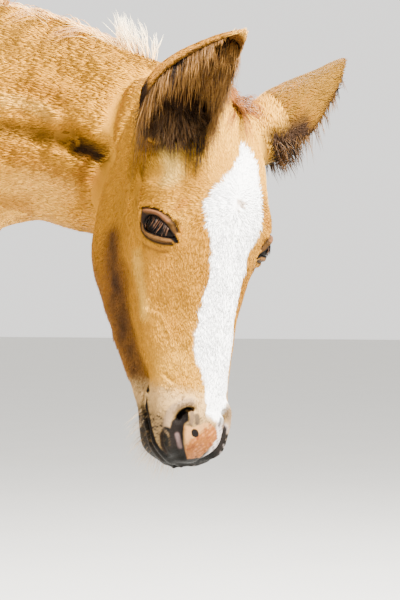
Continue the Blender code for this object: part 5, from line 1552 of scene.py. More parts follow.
@dataclass
class Hide:
    """The foal's skin, in one piece from the lips to the dock and the coronets."""

    foal: Foal
    even_rounds: int = 13
    calm_rounds: int = 2
    zone: float = 0.026
    splits: tuple[float, ...] = (0.015, 0.009)
    lips_from: float = 0.37

    def fuse(self) -> bpy.types.Object:
        """Lofts the body's forms and fuses them into one even surface."""
        foal = self.foal
        forms = [*foal.trunk.solids(), foal.neck.solid(), foal.head.solid()]
        forms += [leg.solid() for leg in foal.legs]
        forms += [Solid.ball(eye.middle, eye.radius + eye.lid_wall) for eye in foal.eyes]
        hide = Bench.piece("hide", forms)
        Bench.apply(hide, "REMESH", mode="VOXEL", voxel_size=foal.voxel)
        Bench.apply(hide, "SMOOTH", factor=0.5, iterations=self.even_rounds)
        return hide

    def fine(self, points: np.ndarray, reach: float) -> np.ndarray:
        """Marks the points near the eyes, the nostrils, the lips and the vein."""
        head = self.foal.head
        found = np.zeros(len(points), bool)
        for eye in self.foal.eyes:
            found |= np.linalg.norm(points - np.array(eye.middle), axis=1) < self.zone + reach
        gauge = Paint(points, np.zeros(3))
        for side in Side:
            u, v, w = head.nostril
            middle = np.array(head.at(u, v, w * side.value))
            found |= np.linalg.norm(points - middle, axis=1) < self.zone + reach
            for stroke in (head.mouth, head.vein, head.wrinkle):
                found |= gauge.far(head.line(side, stroke)) < reach
        return found

    def split_fine(self, hide: bpy.types.Object) -> None:
        """Halves the mesh's faces twice round the eyes, the nostrils and the mouth."""
        for reach in self.splits:
            points, _ = Bench.read(hide)
            local = self.foal.head.local(points)
            fine = self.fine(points, reach)
            if reach == self.splits[0]:
                fine |= (local[:, 0] > self.lips_from) & (points[:, 0] > 0.5) & (points[:, 2] > 0.45)
            shaped = bmesh.new()
            shaped.from_mesh(hide.data)
            shaped.verts.ensure_lookup_table()
            chosen = {shaped.verts[i] for i in np.flatnonzero(fine)}
            edges = {e for v in chosen for e in v.link_edges if e.other_vert(v) in chosen}
            bmesh.ops.subdivide_edges(shaped, edges=list(edges), cuts=1, use_grid_fill=True, smooth=0.0)
            shaped.to_mesh(hide.data)
            shaped.free()

    def model(self, hide: bpy.types.Object) -> None:
        """Models every muscle, bone, fold and rim, then sinks the skin below the coat."""
        foal = self.foal
        clay = Clay(hide)
        foal.trunk.model(clay)
        for leg in foal.legs:
            leg.model(clay)
        clay.done()
        for form in (foal.neck, foal.head):
            clay = Clay(hide)
            form.model(clay)
            clay.done()
        Bench.apply(hide, "SMOOTH", factor=0.5, iterations=self.calm_rounds)
        self.thin(hide)
        self.split_fine(hide)
        clay = Clay(hide)
        foal.head.refine(clay)
        for eye in foal.eyes:
            eye.model(clay)
        clay.done()
        points, normals = Bench.read(hide)
        Bench.write(hide, points - normals * foal.depth(points)[:, None])

    def thin(self, hide: bpy.types.Object) -> None:
        """Thins the skin away from the face, down to its budget."""
        points, _ = Bench.read(hide)
        regions = self.foal.regions(points)
        weight = np.full(len(points), 1.0)
        weight[regions == Region.NECK.value] = 0.8
        weight[regions == Region.HEAD.value] = 0.12
        local = self.foal.head.local(points)
        weight[self.fine(points, 0.016) | ((local[:, 0] > 0.345) & (regions == Region.HEAD.value))] = 0.0
        group = hide.vertex_groups.new(name="thin")
        for value in np.unique(weight):
            group.add(np.flatnonzero(weight == value).tolist(), float(value), "REPLACE")
        count = sum(len(face.vertices) - 2 for face in hide.data.polygons)
        Bench.apply(
            hide, "DECIMATE", ratio=min(1.0, self.foal.budget / count), vertex_group="thin",
            vertex_group_factor=0.6, use_collapse_triangulate=True,
        )
        hide.vertex_groups.clear()

    def build(self) -> bpy.types.Object:
        """Builds the skin, still in the forms' own frame, and paints it."""
        hide = self.fuse()
        LOG.info("skin fused: %d faces", len(hide.data.polygons))
        self.model(hide)
        Bench.merge(hide, [form for ear in self.foal.ears for form in (ear.stub(), ear.solid())], "UNION")
        Bench.merge(
            hide, [form for eye in self.foal.eyes for form in (eye.socket(), eye.opening())], "DIFFERENCE"
        )
        hide.data.shade_smooth()
        points, normals = Bench.read(hide)
        regions = self.foal.regions(points)
        colours, bare = self.foal.colours(points, regions)
        ways = self.foal.lie(points, normals, regions)
        centre = np.where(
            (regions == Region.HEAD.value)[:, None], np.array(self.foal.head.poll), (0, 0, 0.9)
        )
        spots = points - centre
        combed = spots - ways * (spots * ways).sum(1, keepdims=True) * 0.86
        Bench.tint(hide, colours)
        Bench.tint(hide, combed, "comb")
        Bench.weigh(hide, "bare", bare)
        return hide


@dataclass
class Field:
    """Places sown over the skin, with what the skin is like there."""

    foal: Foal
    hide: bpy.types.Object

    def __post_init__(self) -> None:
        """Reads the skin's triangles once."""
        mesh = self.hide.data
        mesh.calc_loop_triangles()
        corners = np.empty(len(mesh.loop_triangles) * 3, np.int32)
        mesh.loop_triangles.foreach_get("vertices", corners)
        self.corners = corners.reshape(-1, 3)
        self.points, self.normals = Bench.read(self.hide)
        a, b, c = (self.points[self.corners[:, i]] for i in range(3))
        self.areas = np.linalg.norm(np.cross(b - a, c - a), axis=1) / 2
        self.middles = (a + b + c) / 3
        self.regions = self.foal.regions(self.middles)

    def sow(self, share: np.ndarray, count: int, seed: int) -> tuple[np.ndarray, np.ndarray, np.ndarray]:
        """Picks places at random.

        Args:
            share: how thickly each triangle is sown, for its area.
            count: number of places.
            seed: seed of the draw.

        Returns:
            Places, normals and regions.
        """
        draw = np.random.default_rng(seed)
        weight = self.areas * share
        ends = np.cumsum(weight)
        picks = np.searchsorted(ends, draw.random(count) * ends[-1])
        picks = np.clip(picks, 0, len(ends) - 1)
        a, b = draw.random(count), draw.random(count)
        flip = a + b > 1
        a[flip], b[flip] = 1 - a[flip], 1 - b[flip]
        mix = np.stack([1 - a - b, a, b], 1)[:, :, None]
        corners = self.corners[picks]
        points = (self.points[corners] * mix).sum(1)
        normals = unit((self.normals[corners] * mix).sum(1))
        return points, normals, self.regions[picks]


@dataclass
class Tufts:
    """Many small pointed tufts of the short coat in one mesh."""

    roots: np.ndarray
    ways: np.ndarray
    normals: np.ndarray
    lengths: np.ndarray
    widths: np.ndarray
    lifts: np.ndarray
    root_colours: np.ndarray
    tip_colours: np.ndarray

    def build(self, name: str, shift: np.ndarray, charts: np.ndarray) -> bpy.types.Object:
        """Builds the mesh.

        Args:
            name: the object's name.
            shift: from the forms' frame to the model's.
            charts: each tuft's place on the unwrapped skin.

        Returns:
            The new object.
        """
        count, up = len(self.roots), self.normals
        across = unit(np.cross(up, self.ways))
        reach, half, lift = (rows[:, None] for rows in (self.lengths, self.widths / 2, self.lifts))
        middle = self.roots + (self.ways * 0.42 + up * lift * 0.5) * reach
        tip = self.roots + (self.ways + up * lift * 0.8) * reach
        corners = (self.roots - up * 0.0006, middle - across * half, middle + across * half)
        points = np.stack([*corners, middle + up * half * 0.18, tip], 1)
        tris = np.array([(1, 2, 4), (2, 3, 4), (3, 1, 4), (2, 1, 0), (3, 2, 0), (1, 3, 0)])
        faces = (tris[None] + (np.arange(count) * 5)[:, None, None]).reshape(-1, 3)
        piece = Bench.triangles(name, points.reshape(-1, 3) + shift, faces)
        share = np.array([0.0, 0.45, 0.45, 0.45, 1.0])[None, :, None]
        colours = self.root_colours[:, None] * (1 - share) + self.tip_colours[:, None] * share
        Bench.tint(piece, colours.reshape(-1, 3))
        patch = np.array([(0, -1), (-1, 0), (1, 0), (0.2, 0.1), (0, 1)]) * 0.0015
        Bench.chart(piece, (charts[:, None] + patch[None]).reshape(-1, 2), faces)
        piece.data.shade_smooth()
        return piece


@dataclass
class Blades:
    """Many tapering strands of long hair in one mesh."""

    paths: np.ndarray
    widths: np.ndarray
    faces: np.ndarray
    root_colours: np.ndarray
    tip_colours: np.ndarray

    def build(self, name: str, shift: np.ndarray, charted: bool = False) -> bpy.types.Object:
        """Builds the mesh.

        Args:
            name: the object's name.
            shift: from the forms' frame to the model's.
            charted: whether each strand has its patch on the unwrapped skin.

        Returns:
            The new object.
        """
        count, steps, _ = self.paths.shape
        rings = steps - 1
        ahead = unit(np.gradient(self.paths, axis=1))
        across = unit(np.cross(ahead, self.faces[:, None, :]))
        out = unit(np.cross(across, ahead))
        half = self.widths[:, :, None] / 2
        centre, side, lift = self.paths[:, :rings], across[:, :rings] * half, out[:, :rings] * half
        body = np.stack([centre - side, centre + side, centre + lift], 2).reshape(count, rings * 3, 3)
        points = np.concatenate([body, self.paths[:, -1:]], 1)
        tris = [(0, 1, 2)]
        for r in range(rings - 1):
            for i in range(3):
                j = (i + 1) % 3
                low, high = r * 3, r * 3 + 3
                tris += [(low + i, high + i, low + j), (low + j, high + i, high + j)]
        last, tip = (rings - 1) * 3, rings * 3
        tris += [(last + i, tip, last + (i + 1) % 3) for i in range(3)]
        each = rings * 3 + 1
        corners = (np.array(tris)[None] + (np.arange(count) * each)[:, None, None]).reshape(-1, 3)
        piece = Bench.triangles(name, points.reshape(-1, 3) + shift, corners)
        share = np.append(np.repeat(np.arange(rings) / rings, 3), 1.0)[None, :, None]
        colours = self.root_colours[:, None] * (1 - share) + self.tip_colours[:, None] * share
        Bench.tint(piece, colours.reshape(-1, 3))
        if charted:
            spread = np.append(np.tile((-1.0, 1.0, 0.0), rings), 0.0)
            patch = np.stack([spread, share[0, :, 0] * 2 - 1], 1) * 0.0015
            Bench.chart(piece, (unwrap(self.paths[:, 0])[:, None] + patch[None]).reshape(-1, 2), corners)
        piece.data.shade_smooth()
        return piece


@dataclass(frozen=True)
class CoatPatch:
    """One piece of the coat: where it grows, how long and how thick."""

    name: str
    count: int
    length: float
    width: float
    lift: float
    seed: int


@dataclass
class Coat:
    """The short coat: fine tufts that lie along the skin and overlap."""

    foal: Foal
    field: Field
    patches: tuple[CoatPatch, ...] = (
        CoatPatch("coat_face_right", 33000, 0.008, 0.00085, 0.09, 51),
        CoatPatch("coat_face_left", 19000, 0.008, 0.001, 0.1, 52),
        CoatPatch("coat_cheek_right", 30000, 0.0105, 0.001, 0.09, 53),
        CoatPatch("coat_cheek_left", 15000, 0.01, 0.0013, 0.1, 54),
        CoatPatch("coat_neck_right", 33000, 0.0175, 0.0014, 0.065, 55),
        CoatPatch("coat_neck_left", 18000, 0.017, 0.0019, 0.08, 56),
        CoatPatch("coat_trunk_front", 25000, 0.024, 0.0028, 0.065, 57),
        CoatPatch("coat_trunk_back", 25000, 0.024, 0.0028, 0.065, 58),
        CoatPatch("coat_legs", 22000, 0.015, 0.0018, 0.08, 59),
    )

    def share(self, patch: CoatPatch) -> np.ndarray:
        """How thickly each of the skin's triangles is sown with a patch."""
        points, regions = self.field.middles, self.field.regions
        u, v, w = self.foal.head.local(points).T
        name = patch.name
        if "face" in name or "cheek" in name:
            drop = self.foal.head.table(u)[:, 0] - v
            face = smooth_step(0.085 - drop, 0, 0.02)
            share = (regions == Region.HEAD.value) * (face if "face" in name else 1 - face)
            share = share + (regions == Region.EAR.value) * (1.0 if "face" in name else 0.0)
            share = share * (1 - smooth_step(u, 0.375, 0.4)) * (1 - 0.6 * smooth_step(u, 0.355, 0.375))
            share = share * ((w > 0) if "right" in name else (w <= 0))
            for eye in self.foal.eyes:
                share = share * smooth_step(-eye.plan.inside(points, eye.lids()), -0.0005, 0.0025)
            for ear in self.foal.ears:
                along, radius, _ = ear.local(points)
                share = share * np.where((along > 0.1) & (along < 1.1) & (radius < 0.95), 0.0, 1.0)
            return share
        if "neck" in name:
            middle = np.interp(
                points[:, 0], (0.3, 0.45, 0.58, 0.7, 0.8), (0, -0.004, -0.018, -0.055, -0.1)
            )
            side = points[:, 1] < middle
            return (regions == Region.NECK.value) * (side if "right" in name else ~side)
        if "trunk" in name:
            front = points[:, 0] > 0.0
            return (regions == Region.TRUNK.value) * (front if "front" in name else ~front)
        return (regions == Region.LEG.value) * 1.0

    def grow(self, patch: CoatPatch) -> Tufts:
        """Sets a patch's tufts along the lie of the coat."""
        draw = np.random.default_rng(patch.seed + 100)
        points, normals, regions = self.field.sow(self.share(patch), patch.count, patch.seed)
        count = len(points)
        ways = self.foal.lie(points, normals, regions)
        sway = 0.16 * ripple(points, 0.045, patch.seed) + 0.1 * ripple(points, 0.014, 9)
        sway = sway + 0.13 * draw.normal(size=count)
        ways = unit(ways + np.cross(normals, ways) * sway[:, None])
        u = self.foal.head.local(points)[:, 0]
        head = regions == Region.HEAD.value
        length = patch.length * draw.uniform(0.7, 1.25, count)
        length = np.where(head, length * (1 - 0.45 * smooth_step(u, 0.25, 0.4)), length)
        length = np.where(regions == Region.EAR.value, length * 1.1, length)
        length = length * (1 + 0.15 * ripple(points, 0.05, 5))
        if patch.name == "coat_legs":
            length = length * (0.65 + 0.35 * smooth_step(points[:, 2], 0.25, 0.6))
        for eye in self.foal.eyes:
            near = np.linalg.norm(points - np.array(eye.middle), axis=1)
            length = length * (0.45 + 0.55 * smooth_step(near, 0.024, 0.045))
        lift = patch.lift * (1 + 0.25 * ripple(points, 0.03, 6) + 0.3 * draw.normal(size=count))
        colour, _ = self.foal.colours(points, regions)
        tone = 1 + 0.1 * draw.normal(size=(count, 1)) + 0.05 * ripple(points, 0.012, 8)[:, None]
        bright = (draw.random((count, 1)) < 0.08) * head[:, None] * 0.35
        neck = (regions == Region.NECK.value)[:, None]
        calm = neck | (regions == Region.TRUNK.value)[:, None]
        tone = np.where(calm, 1 + (tone - 1) * 0.25, 1 + (tone - 1) * 0.7)
        root = np.clip(colour * tone * np.where(calm, 0.94, 0.87), 0, 0.96)
        tip = np.clip(colour * (tone + bright) * np.where(calm, 1.05, 1.1), 0, 0.97)
        width = patch.width * draw.uniform(0.75, 1.3, count)
        return Tufts(points, ways, normals, length, width, np.clip(lift, 0.03, 0.4), root, tip)

    def build(self, finish: bpy.types.Material) -> None:
        """Builds every patch of the coat."""
        for patch in self.patches:
            tufts = self.grow(patch)
            piece = tufts.build(patch.name, self.foal.shift, unwrap(tufts.roots))
            Bench.hand_over(piece, finish, "coat")


@dataclass
class Locks:
    """Strands about to grow: where, which way, how long, how bent, how wide and how coloured."""

    roots: np.ndarray
    ways: np.ndarray
    lengths: np.ndarray
    bends: np.ndarray
    faces: np.ndarray
    root_colour: np.ndarray
    tip_colour: np.ndarray
    width: float = 0.0009
    curl: float = 0.0
    turns: float = 1.0
    steps: int = 6

    def strands(self, draw: np.random.Generator, tones: tuple[float, float]) -> Blades:
        """Lets the strands grow one way, bend another and curl.

        Args:
            draw: source of the strands' differences.
            tones: darkest and brightest strand.

        Returns:
            The strands.
        """
        count = len(self.roots)
        t = np.linspace(0, 1, self.steps + 1)[None, :, None]
        reach, ways = self.lengths[:, None, None], self.ways[:, None]
        across = unit(np.cross(self.ways, self.faces))
        phase = draw.uniform(0, 2 * np.pi, (count, 1, 1))
        rate = self.turns * 2 * np.pi * draw.uniform(0.7, 1.3, (count, 1, 1))
        wave = np.sin(rate * t + phase) - np.sin(phase)
        swirl = np.cos(rate * t + phase) - np.cos(phase)
        paths = self.roots[:, None] + ways * reach * (t - 0.15 * t**2)
        paths = paths + self.bends[:, None] * reach * t**2
        paths = paths + (
            across[:, None] * wave + self.faces[:, None] * swirl * 0.7
        ) * reach * self.curl * t
        taper = 1 - 0.75 * np.linspace(0, 1, self.steps + 1)[:-1] ** 1.5
        widths = np.full(count, self.width)[:, None] * taper[None]
        tone = draw.uniform(*tones, (count, 1))
        colours = (
            np.clip(np.broadcast_to(c, (count, 3)) * tone, 0, 0.97)
            for c in (self.root_colour, self.tip_colour)
        )
        return Blades(paths, widths, self.faces, *colours)


@dataclass
class LongHair:
    """The mane, forelock, tail, ear hairs, lashes and whiskers, in fine tapering strands."""

    foal: Foal
    finish: bpy.types.Material
    root: tuple[int, int, int] = (226, 178, 104)
    tip: tuple[int, int, int] = (250, 218, 150)
    pale: tuple[int, int, int] = (252, 238, 204)
    tan: tuple[int, int, int] = (150, 96, 48)
    cup_hairs: tuple[int, int] = (3000, 1100)
    root_hairs: tuple[int, int] = (900, 500)

    def grow(
        self, name: str, locks: Locks, draw: np.random.Generator, tones: tuple[float, float],
        slot: str = "mane", charted: bool = False, nodes: tuple[str, ...] = (),
    ) -> None:
        """Grows a piece of hair and hands it over.

        Args:
            name: the piece's name.
            locks: its strands, about to grow.
            draw: source of the strands' differences.
            tones: darkest and brightest strand.
            slot: the record's slot for it.
            charted: whether each strand has its patch on the unwrapped skin.
            nodes: solids that it replaces.
        """
        piece = locks.strands(draw, tones).build(name, self.foal.shift, charted)
        Bench.hand_over(piece, self.finish, slot, *nodes)

    def mane(self) -> None:
        """The short mane: flopping locks, then long ones that flow back, then thin upright tufts."""
        draw = np.random.default_rng(71)
        short = [
            (p, draw.normal(0, 0.5), draw.normal(-0.2, 0.4), draw.uniform(0.035, 0.058), 0)
            for p in np.linspace(0.05, 0.4, 62)
        ]
        flowing = [
            (p, draw.normal(-0.25, 0.25), draw.uniform(-1.7, -1.1), draw.uniform(0.04, 0.07), 0)
            for p in np.linspace(0.39, 0.655, 42)
        ]
        upright = [
            (p, draw.normal(0, 0.25), draw.uniform(-0.6, -0.1), draw.uniform(0.04, 0.06), 1)
            for p in np.linspace(0.618, 0.7, 7)
        ]
        hanging = [(0.475, 1.9, -0.1, 0.052, 2), (0.56, 1.5, -0.9, 0.04, 2)]
        rows = np.array(short + flowing + upright + hanging)
        each = np.where(rows[:, 4] == 1, 16, 27)
        which = np.repeat(np.arange(len(rows)), each)
        place, lean, pull, long, kind = rows[which].T
        count = len(which)
        place = place + draw.normal(0, np.where(kind == 1, 0.0016, 0.0045), count)
        found = np.array([np.concatenate(self.foal.neck.section(p)[:3]) for p in place])
        top, bottom, side = found[:, :3], found[:, 3:6], unit(found[:, 6:9])
        rise = unit(top - bottom)
        ahead = np.cross(rise, side)
        ahead *= np.sign(ahead[:, :1])
        off = draw.normal(0, np.where(kind == 1, 0.0022, 0.004), count)
        roots = top + side * off[:, None] - rise * (0.007 + 90 * off**2)[:, None]
        upright = (kind == 1)[:, None]
        fan = draw.normal(size=(count, 3)) * np.where(upright, 0.06, 0.09)
        aside = side * (lean * 0.35 + off * 20)[:, None]
        ways = unit(rise + aside + ahead * (pull * 0.75)[:, None] + fan)
        bends = side * (lean * 0.55)[:, None] + ahead * (pull * 0.35)[:, None] + fan * 0.8
        bends = bends - rise * np.where(upright, 0.05, (0.45 + 0.2 * np.abs(lean))[:, None])
        grow = 0.6 + 0.4 * smooth_step(place, 0.02, 0.3)
        lengths = long * grow * draw.uniform(0.75, 1.1, count)
        lengths = np.where(kind == 1, lengths, np.minimum(lengths, 0.09))
        gold = (draw.random(count) < 0.8)[:, None]
        tip = np.where(upright, srgb(*self.pale), np.where(gold, srgb(*self.tan), srgb(*self.tip)))
        tip = np.where((kind == 2)[:, None], srgb(*self.tan), tip)
        locks = Locks(roots, ways, lengths, bends, side, srgb(*self.root), tip, 0.001, 0.045, 0.9)
        self.grow("mane", locks, draw, (0.85, 1.08))

    def forelock(self, count: int = 520, curls: int = 26) -> None:
        """The forelock's wispy reddish curls between the ears."""
        draw = np.random.default_rng(81)
        head = self.foal.head
        which = draw.integers(0, curls, count)
        middles = np.stack([draw.uniform(0.004, 0.046, curls), draw.normal(-0.006, 0.01, curls)], 1)
        lean = draw.normal(0, 0.34, (curls, 3))
        u, w = (middles[which] + draw.normal(0, 0.0016, (count, 2))).T
        v = head.table(u)[:, 0] - 0.002 - 9 * w**2
        frame = np.array(head.frame.to_3x3())
        roots = as_rows(head.at(*p) for p in np.stack([u, v, w], 1))
        rise = np.array([-0.45, 0.8, 0.0]) + lean[which] + draw.normal(0, 0.07, (count, 3))
        ways = unit(rise @ frame.T)
        bends = (np.array([0.95, -0.1, 0.0]) + lean[which][:, ::-1] * 0.8) @ frame.T
        faces = np.tile(frame @ np.array([0, 0, 1.0]), (count, 1))
        long = np.random.default_rng(82).uniform(0.02, 0.044, curls)
        lengths = long[which] * draw.uniform(0.8, 1.1, count)
        locks = Locks(
            roots, ways, lengths, bends, faces, srgb(66, 34, 10), srgb(132, 78, 24), 0.0008, 0.13, 0.8, 8
        )
        self.grow("forelock", locks, draw, (0.7, 1.25))

    def tail(self, count: int = 3300, locks: int = 96) -> None:
        """The fluffy tail, in locks that hang from the dock and curl at their ends."""
        draw = np.random.default_rng(91)
        dock = np.array(((-0.48, 0, 0.994), (-0.508, 0, 0.958), (-0.523, 0, 0.91), (-0.53, 0, 0.85)))
        lock_share = draw.uniform(0.1, 1.0, locks) ** 0.9
        lock_turn = draw.uniform(-2.35, 2.35, locks)
        lock_bend = np.clip(draw.normal(0, 0.06, (locks, 3)), -0.1, 0.1)
        which = draw.integers(0, locks, count)
        share = np.clip(lock_share[which] + draw.normal(0, 0.03, count), 0.04, 1.0)
        turn = lock_turn[which] + draw.normal(0, 0.12, count)
        spots = flow(np.linspace(0, 1, 4), dock, share)
        radius = np.interp(share, (0, 0.66, 1), (0.0255, 0.021, 0.011)) - 0.002
        out = np.stack([-np.cos(turn), np.sin(turn), np.zeros(count)], 1)
        roots = spots + out * radius[:, None]
        ways = unit(out * 0.5 + np.array([-0.03, 0, -0.8]) + draw.normal(0, 0.07, (count, 3)))
        stray = draw.normal(0, 0.03, (count, 3))
        bends = -out * 0.4 + np.array([-0.01, 0, -0.2]) + lock_bend[which] + stray
        lengths = (0.15 + 0.095 * share) * draw.uniform(0.72, 1.05, count)
        tip = srgb(*self.tip) * 0.9
        grown = Locks(
            roots, ways, lengths, bends, out, srgb(*self.root) * 0.75, tip, 0.0016, 0.028, 1.8, 7
        )
        form = Solid.taper([Vector(p) for p in dock + self.foal.shift], (0.0255, 0.024, 0.021, 0.011))
        core = Bench.piece("dock", [form])
        Bench.apply(core, "SUBSURF", levels=1, render_levels=1)
        Bench.tint(core, np.tile(srgb(*self.tan), (len(core.data.vertices), 1)))
        core.data.shade_smooth()
        Bench.hand_over(core, self.finish, "mane")
        self.grow("tail_hair", grown, draw, (0.85, 1.08), nodes=("tail",))

    def ears(self, fringe: int = 460) -> None:
        """The hairs that hang over the ears' cups, their rims' fringes and the tufts round their roots."""
        draw = np.random.default_rng(101)
        for ear, count, few in zip(self.foal.ears, self.cup_hairs, self.root_hairs):
            total = count + fringe
            share = np.concatenate([draw.uniform(0.02, 0.84, count), draw.uniform(0.02, 0.92, fringe)])
            within = draw.uniform(-1, 1, count)
            edge = draw.uniform(0.92, 1, fringe) * draw.choice((-1, 1), fringe)
            turn = np.concatenate([within, edge])
            roots = as_rows(ear.point(s, t, True) for s, t in zip(share, turn))
            middles = as_rows(ear.middle(s) for s in share)
            inward = unit(middles - roots)
            axis, opening = np.array(ear.axis), np.array(ear.opening)
            rim = (np.arange(total) >= count)[:, None]
            lock = 0.38 * ripple(roots, 0.01, 62)[:, None] * axis
            ways = opening * 0.8 + axis * 0.1 + (0, 0, -0.4) + lock + draw.normal(0, 0.09, (total, 3))
            bends = opening * 0.05 - axis * 0.05 + (0, 0, -0.35) + draw.normal(0, 0.06, (total, 3))
            lengths = draw.uniform(0.03, 0.05, total) * (1.15 - 0.75 * share)
            lengths *= np.where(rim[:, 0], 0.36, 1.0)
            lengths *= (1 + 0.3 * ripple(roots, 0.009, 64)) * (1.0 if ear.side is Side.RIGHT else 0.55)
            # Hairs dark in locks between the tan ones and towards the cup's root: painted shade between
            # the hairs and deep in the cup.
            low = smooth_step(0.2 - share, 0, 0.12)[:, None]
            dark = np.clip(smooth_step(ripple(roots, 0.01, 63), 0.15, 0.7)[:, None] + low, 0, 1)
            root = mixed((72, 46, 20), (16, 9, 5), dark)
            tip = mixed((146, 102, 46), (34, 20, 10), dark)
            # The far ear's hairs are painted darker, as painted shade.
            if ear.side is Side.LEFT:
                root, tip = root * 0.6, tip * 0.55
            low, swing = draw.uniform(-0.04, 0.22, few), draw.uniform(-1.5, 1.5, few)
            radii = np.interp(low, *np.array(ear.trunk).T) - 0.001
            out = opening * np.cos(swing)[:, None] + np.array(ear.across) * np.sin(swing)[:, None]
            bases = as_rows(ear.middle(s) for s in low) + out * radii[:, None]
            roots, inward = np.concatenate([roots, bases]), np.concatenate([inward, out])
            tuft = out * 0.45 + axis * 0.35 + (0, 0, -0.45) + draw.normal(0, 0.22, (few, 3))
            ways = np.concatenate([ways, tuft])
            bends = np.concatenate([bends, draw.normal(0, 0.12, (few, 3)) + (0, 0, -0.45)])
            lengths = np.concatenate([lengths, draw.uniform(0.01, 0.024, few)])
            shade = draw.random((few, 1))
            root = np.concatenate([root, mixed((24, 15, 9), (60, 38, 18), shade)])
            tip = np.concatenate([tip, mixed((46, 30, 17), (104, 74, 38), shade)])
            locks = Locks(roots, unit(ways), lengths, bends, inward, root, tip, 0.00085, 0.03, 0.6, 4)
            self.grow(f"ear_hair_{ear.side.word}", locks, draw, (0.6, 1.2), "coat", True)

    def lashes(self, clumps: int = 27, each: int = 3) -> None:
        """The lashes that hang over the eye from the upper lid, pale and dark by turns."""
        draw = np.random.default_rng(111)
        for eye in self.foal.eyes:
            out, along, up = (np.array(v) for v in (eye.out, eye.along, eye.up))
            rows = np.array(eye.upper)
            count = clumps * each
            t = np.repeat(np.linspace(-0.0205, 0.011, clumps), each) + draw.normal(0, 0.00018, count)
            rise = flow(rows[:, 0], rows[:, 1], t)[:, 0]
            roots = as_rows(eye.lid(tuple(zip(t, rise)), eye.margin))
            lean = np.repeat(draw.normal(0, 0.1, (clumps, 3)), each, 0) + draw.normal(0, 0.03, (count, 3))
            ways = unit(out * 0.42 - up * 0.82 + along * 0.2 + lean)
            bends = -up * 0.15 - out * 0.2 + lean * 0.5
            trim = np.interp(t, (-0.016, 0.002, 0.013), (0.9, 1.0, 0.55))
            lengths = 0.0175 * draw.uniform(0.75, 1.15, count) * trim
            pale = np.repeat(np.arange(clumps) % 2 == 0, each)[:, None]
            root = np.where(pale, srgb(50, 30, 18), srgb(4, 3, 2))
            tip = np.where(pale, srgb(92, 62, 42), srgb(8, 5, 3))
            locks = Locks(
                roots, ways, lengths, bends, np.tile(up, (count, 1)), root, tip, 0.00085, steps=5
            )
            self.grow(f"lashes_{eye.side.word}", locks, draw, (0.8, 1.2), "coat", True)

    def whiskers(self, field: Field, count: int = 300) -> None:
        """The pale whiskers on lips and chin."""
        draw = np.random.default_rng(121)
        u, v, _ = self.foal.head.local(field.middles).T
        mine = field.regions == Region.HEAD.value
        share = mine * smooth_step(u, 0.37, 0.4) * smooth_step(-v, 0.025, 0.045)
        points, normals, _ = field.sow(share, count, 122)
        down = np.array(self.foal.head.way(1, -0.35, 0))
        ways = unit(normals + down * 0.55 + draw.normal(0, 0.12, (count, 3)))
        bends = down * 0.45 + draw.normal(0, 0.1, (count, 3))
        lengths = draw.uniform(0.008, 0.024, count)
        locks = Locks(
            points - normals * 0.001, ways, lengths, bends, normals, srgb(120, 90, 60),
            srgb(214, 188, 148), 0.0004, steps=5,
        )
        self.grow("whiskers", locks, draw, (0.8, 1.05), "coat", True)


@dataclass
class EyeBall:
    """The wet, near-black eyeball with its wide pupil."""

    form: EyeForm
    shift: np.ndarray
    swell: float = 0.0008
    pupil: tuple[float, float] = (0.0072, 0.0042)
    spokes: int = 46
    brown: tuple[int, int, int] = (22, 13, 8)
    iris: tuple[int, int, int] = (8, 4, 2)
    black: tuple[int, int, int] = (3, 3, 4)

    def build(self, finish: bpy.types.Material) -> None:
        """Turns a ball on its axis, swells its clear front and colours its iris."""
        form = self.form
        Bench.clear()
        bpy.ops.mesh.primitive_uv_sphere_add(
            segments=96, ring_count=64, radius=form.radius, location=(0, 0, 0)
        )
        ball = bpy.context.active_object
        ball.name = f"eyeball_{form.side.word}"
        points, _ = Bench.read(ball)
        out = points[:, 2] / form.radius
        points[:, 2] += self.swell * smooth_step(out, 0.62, 1.0)
        across, high = (points[:, :2] / self.pupil).T
        pupil = (smooth_step(1.05 - np.hypot(across, high), 0.0, 0.18) * (out > 0))[:, None]
        iris = smooth_step(out, 0.5, 0.62)[:, None]
        spokes = 0.5 + 0.5 * np.sin(np.arctan2(points[:, 1], points[:, 0]) * self.spokes)
        colour = mixed(self.brown, self.iris, iris) * (0.8 + 0.35 * spokes[:, None] * iris)
        colour = colour * (1 - pupil) + srgb(*self.black) * pupil
        axes = np.stack([form.along, form.out.cross(form.along), form.out])
        Bench.write(ball, points @ axes + np.array(form.middle) + self.shift)
        Bench.tint(ball, colour)
        ball.data.shade_smooth()
        Bench.hand_over(ball, finish, "eye", f"eye_{form.side.word}")


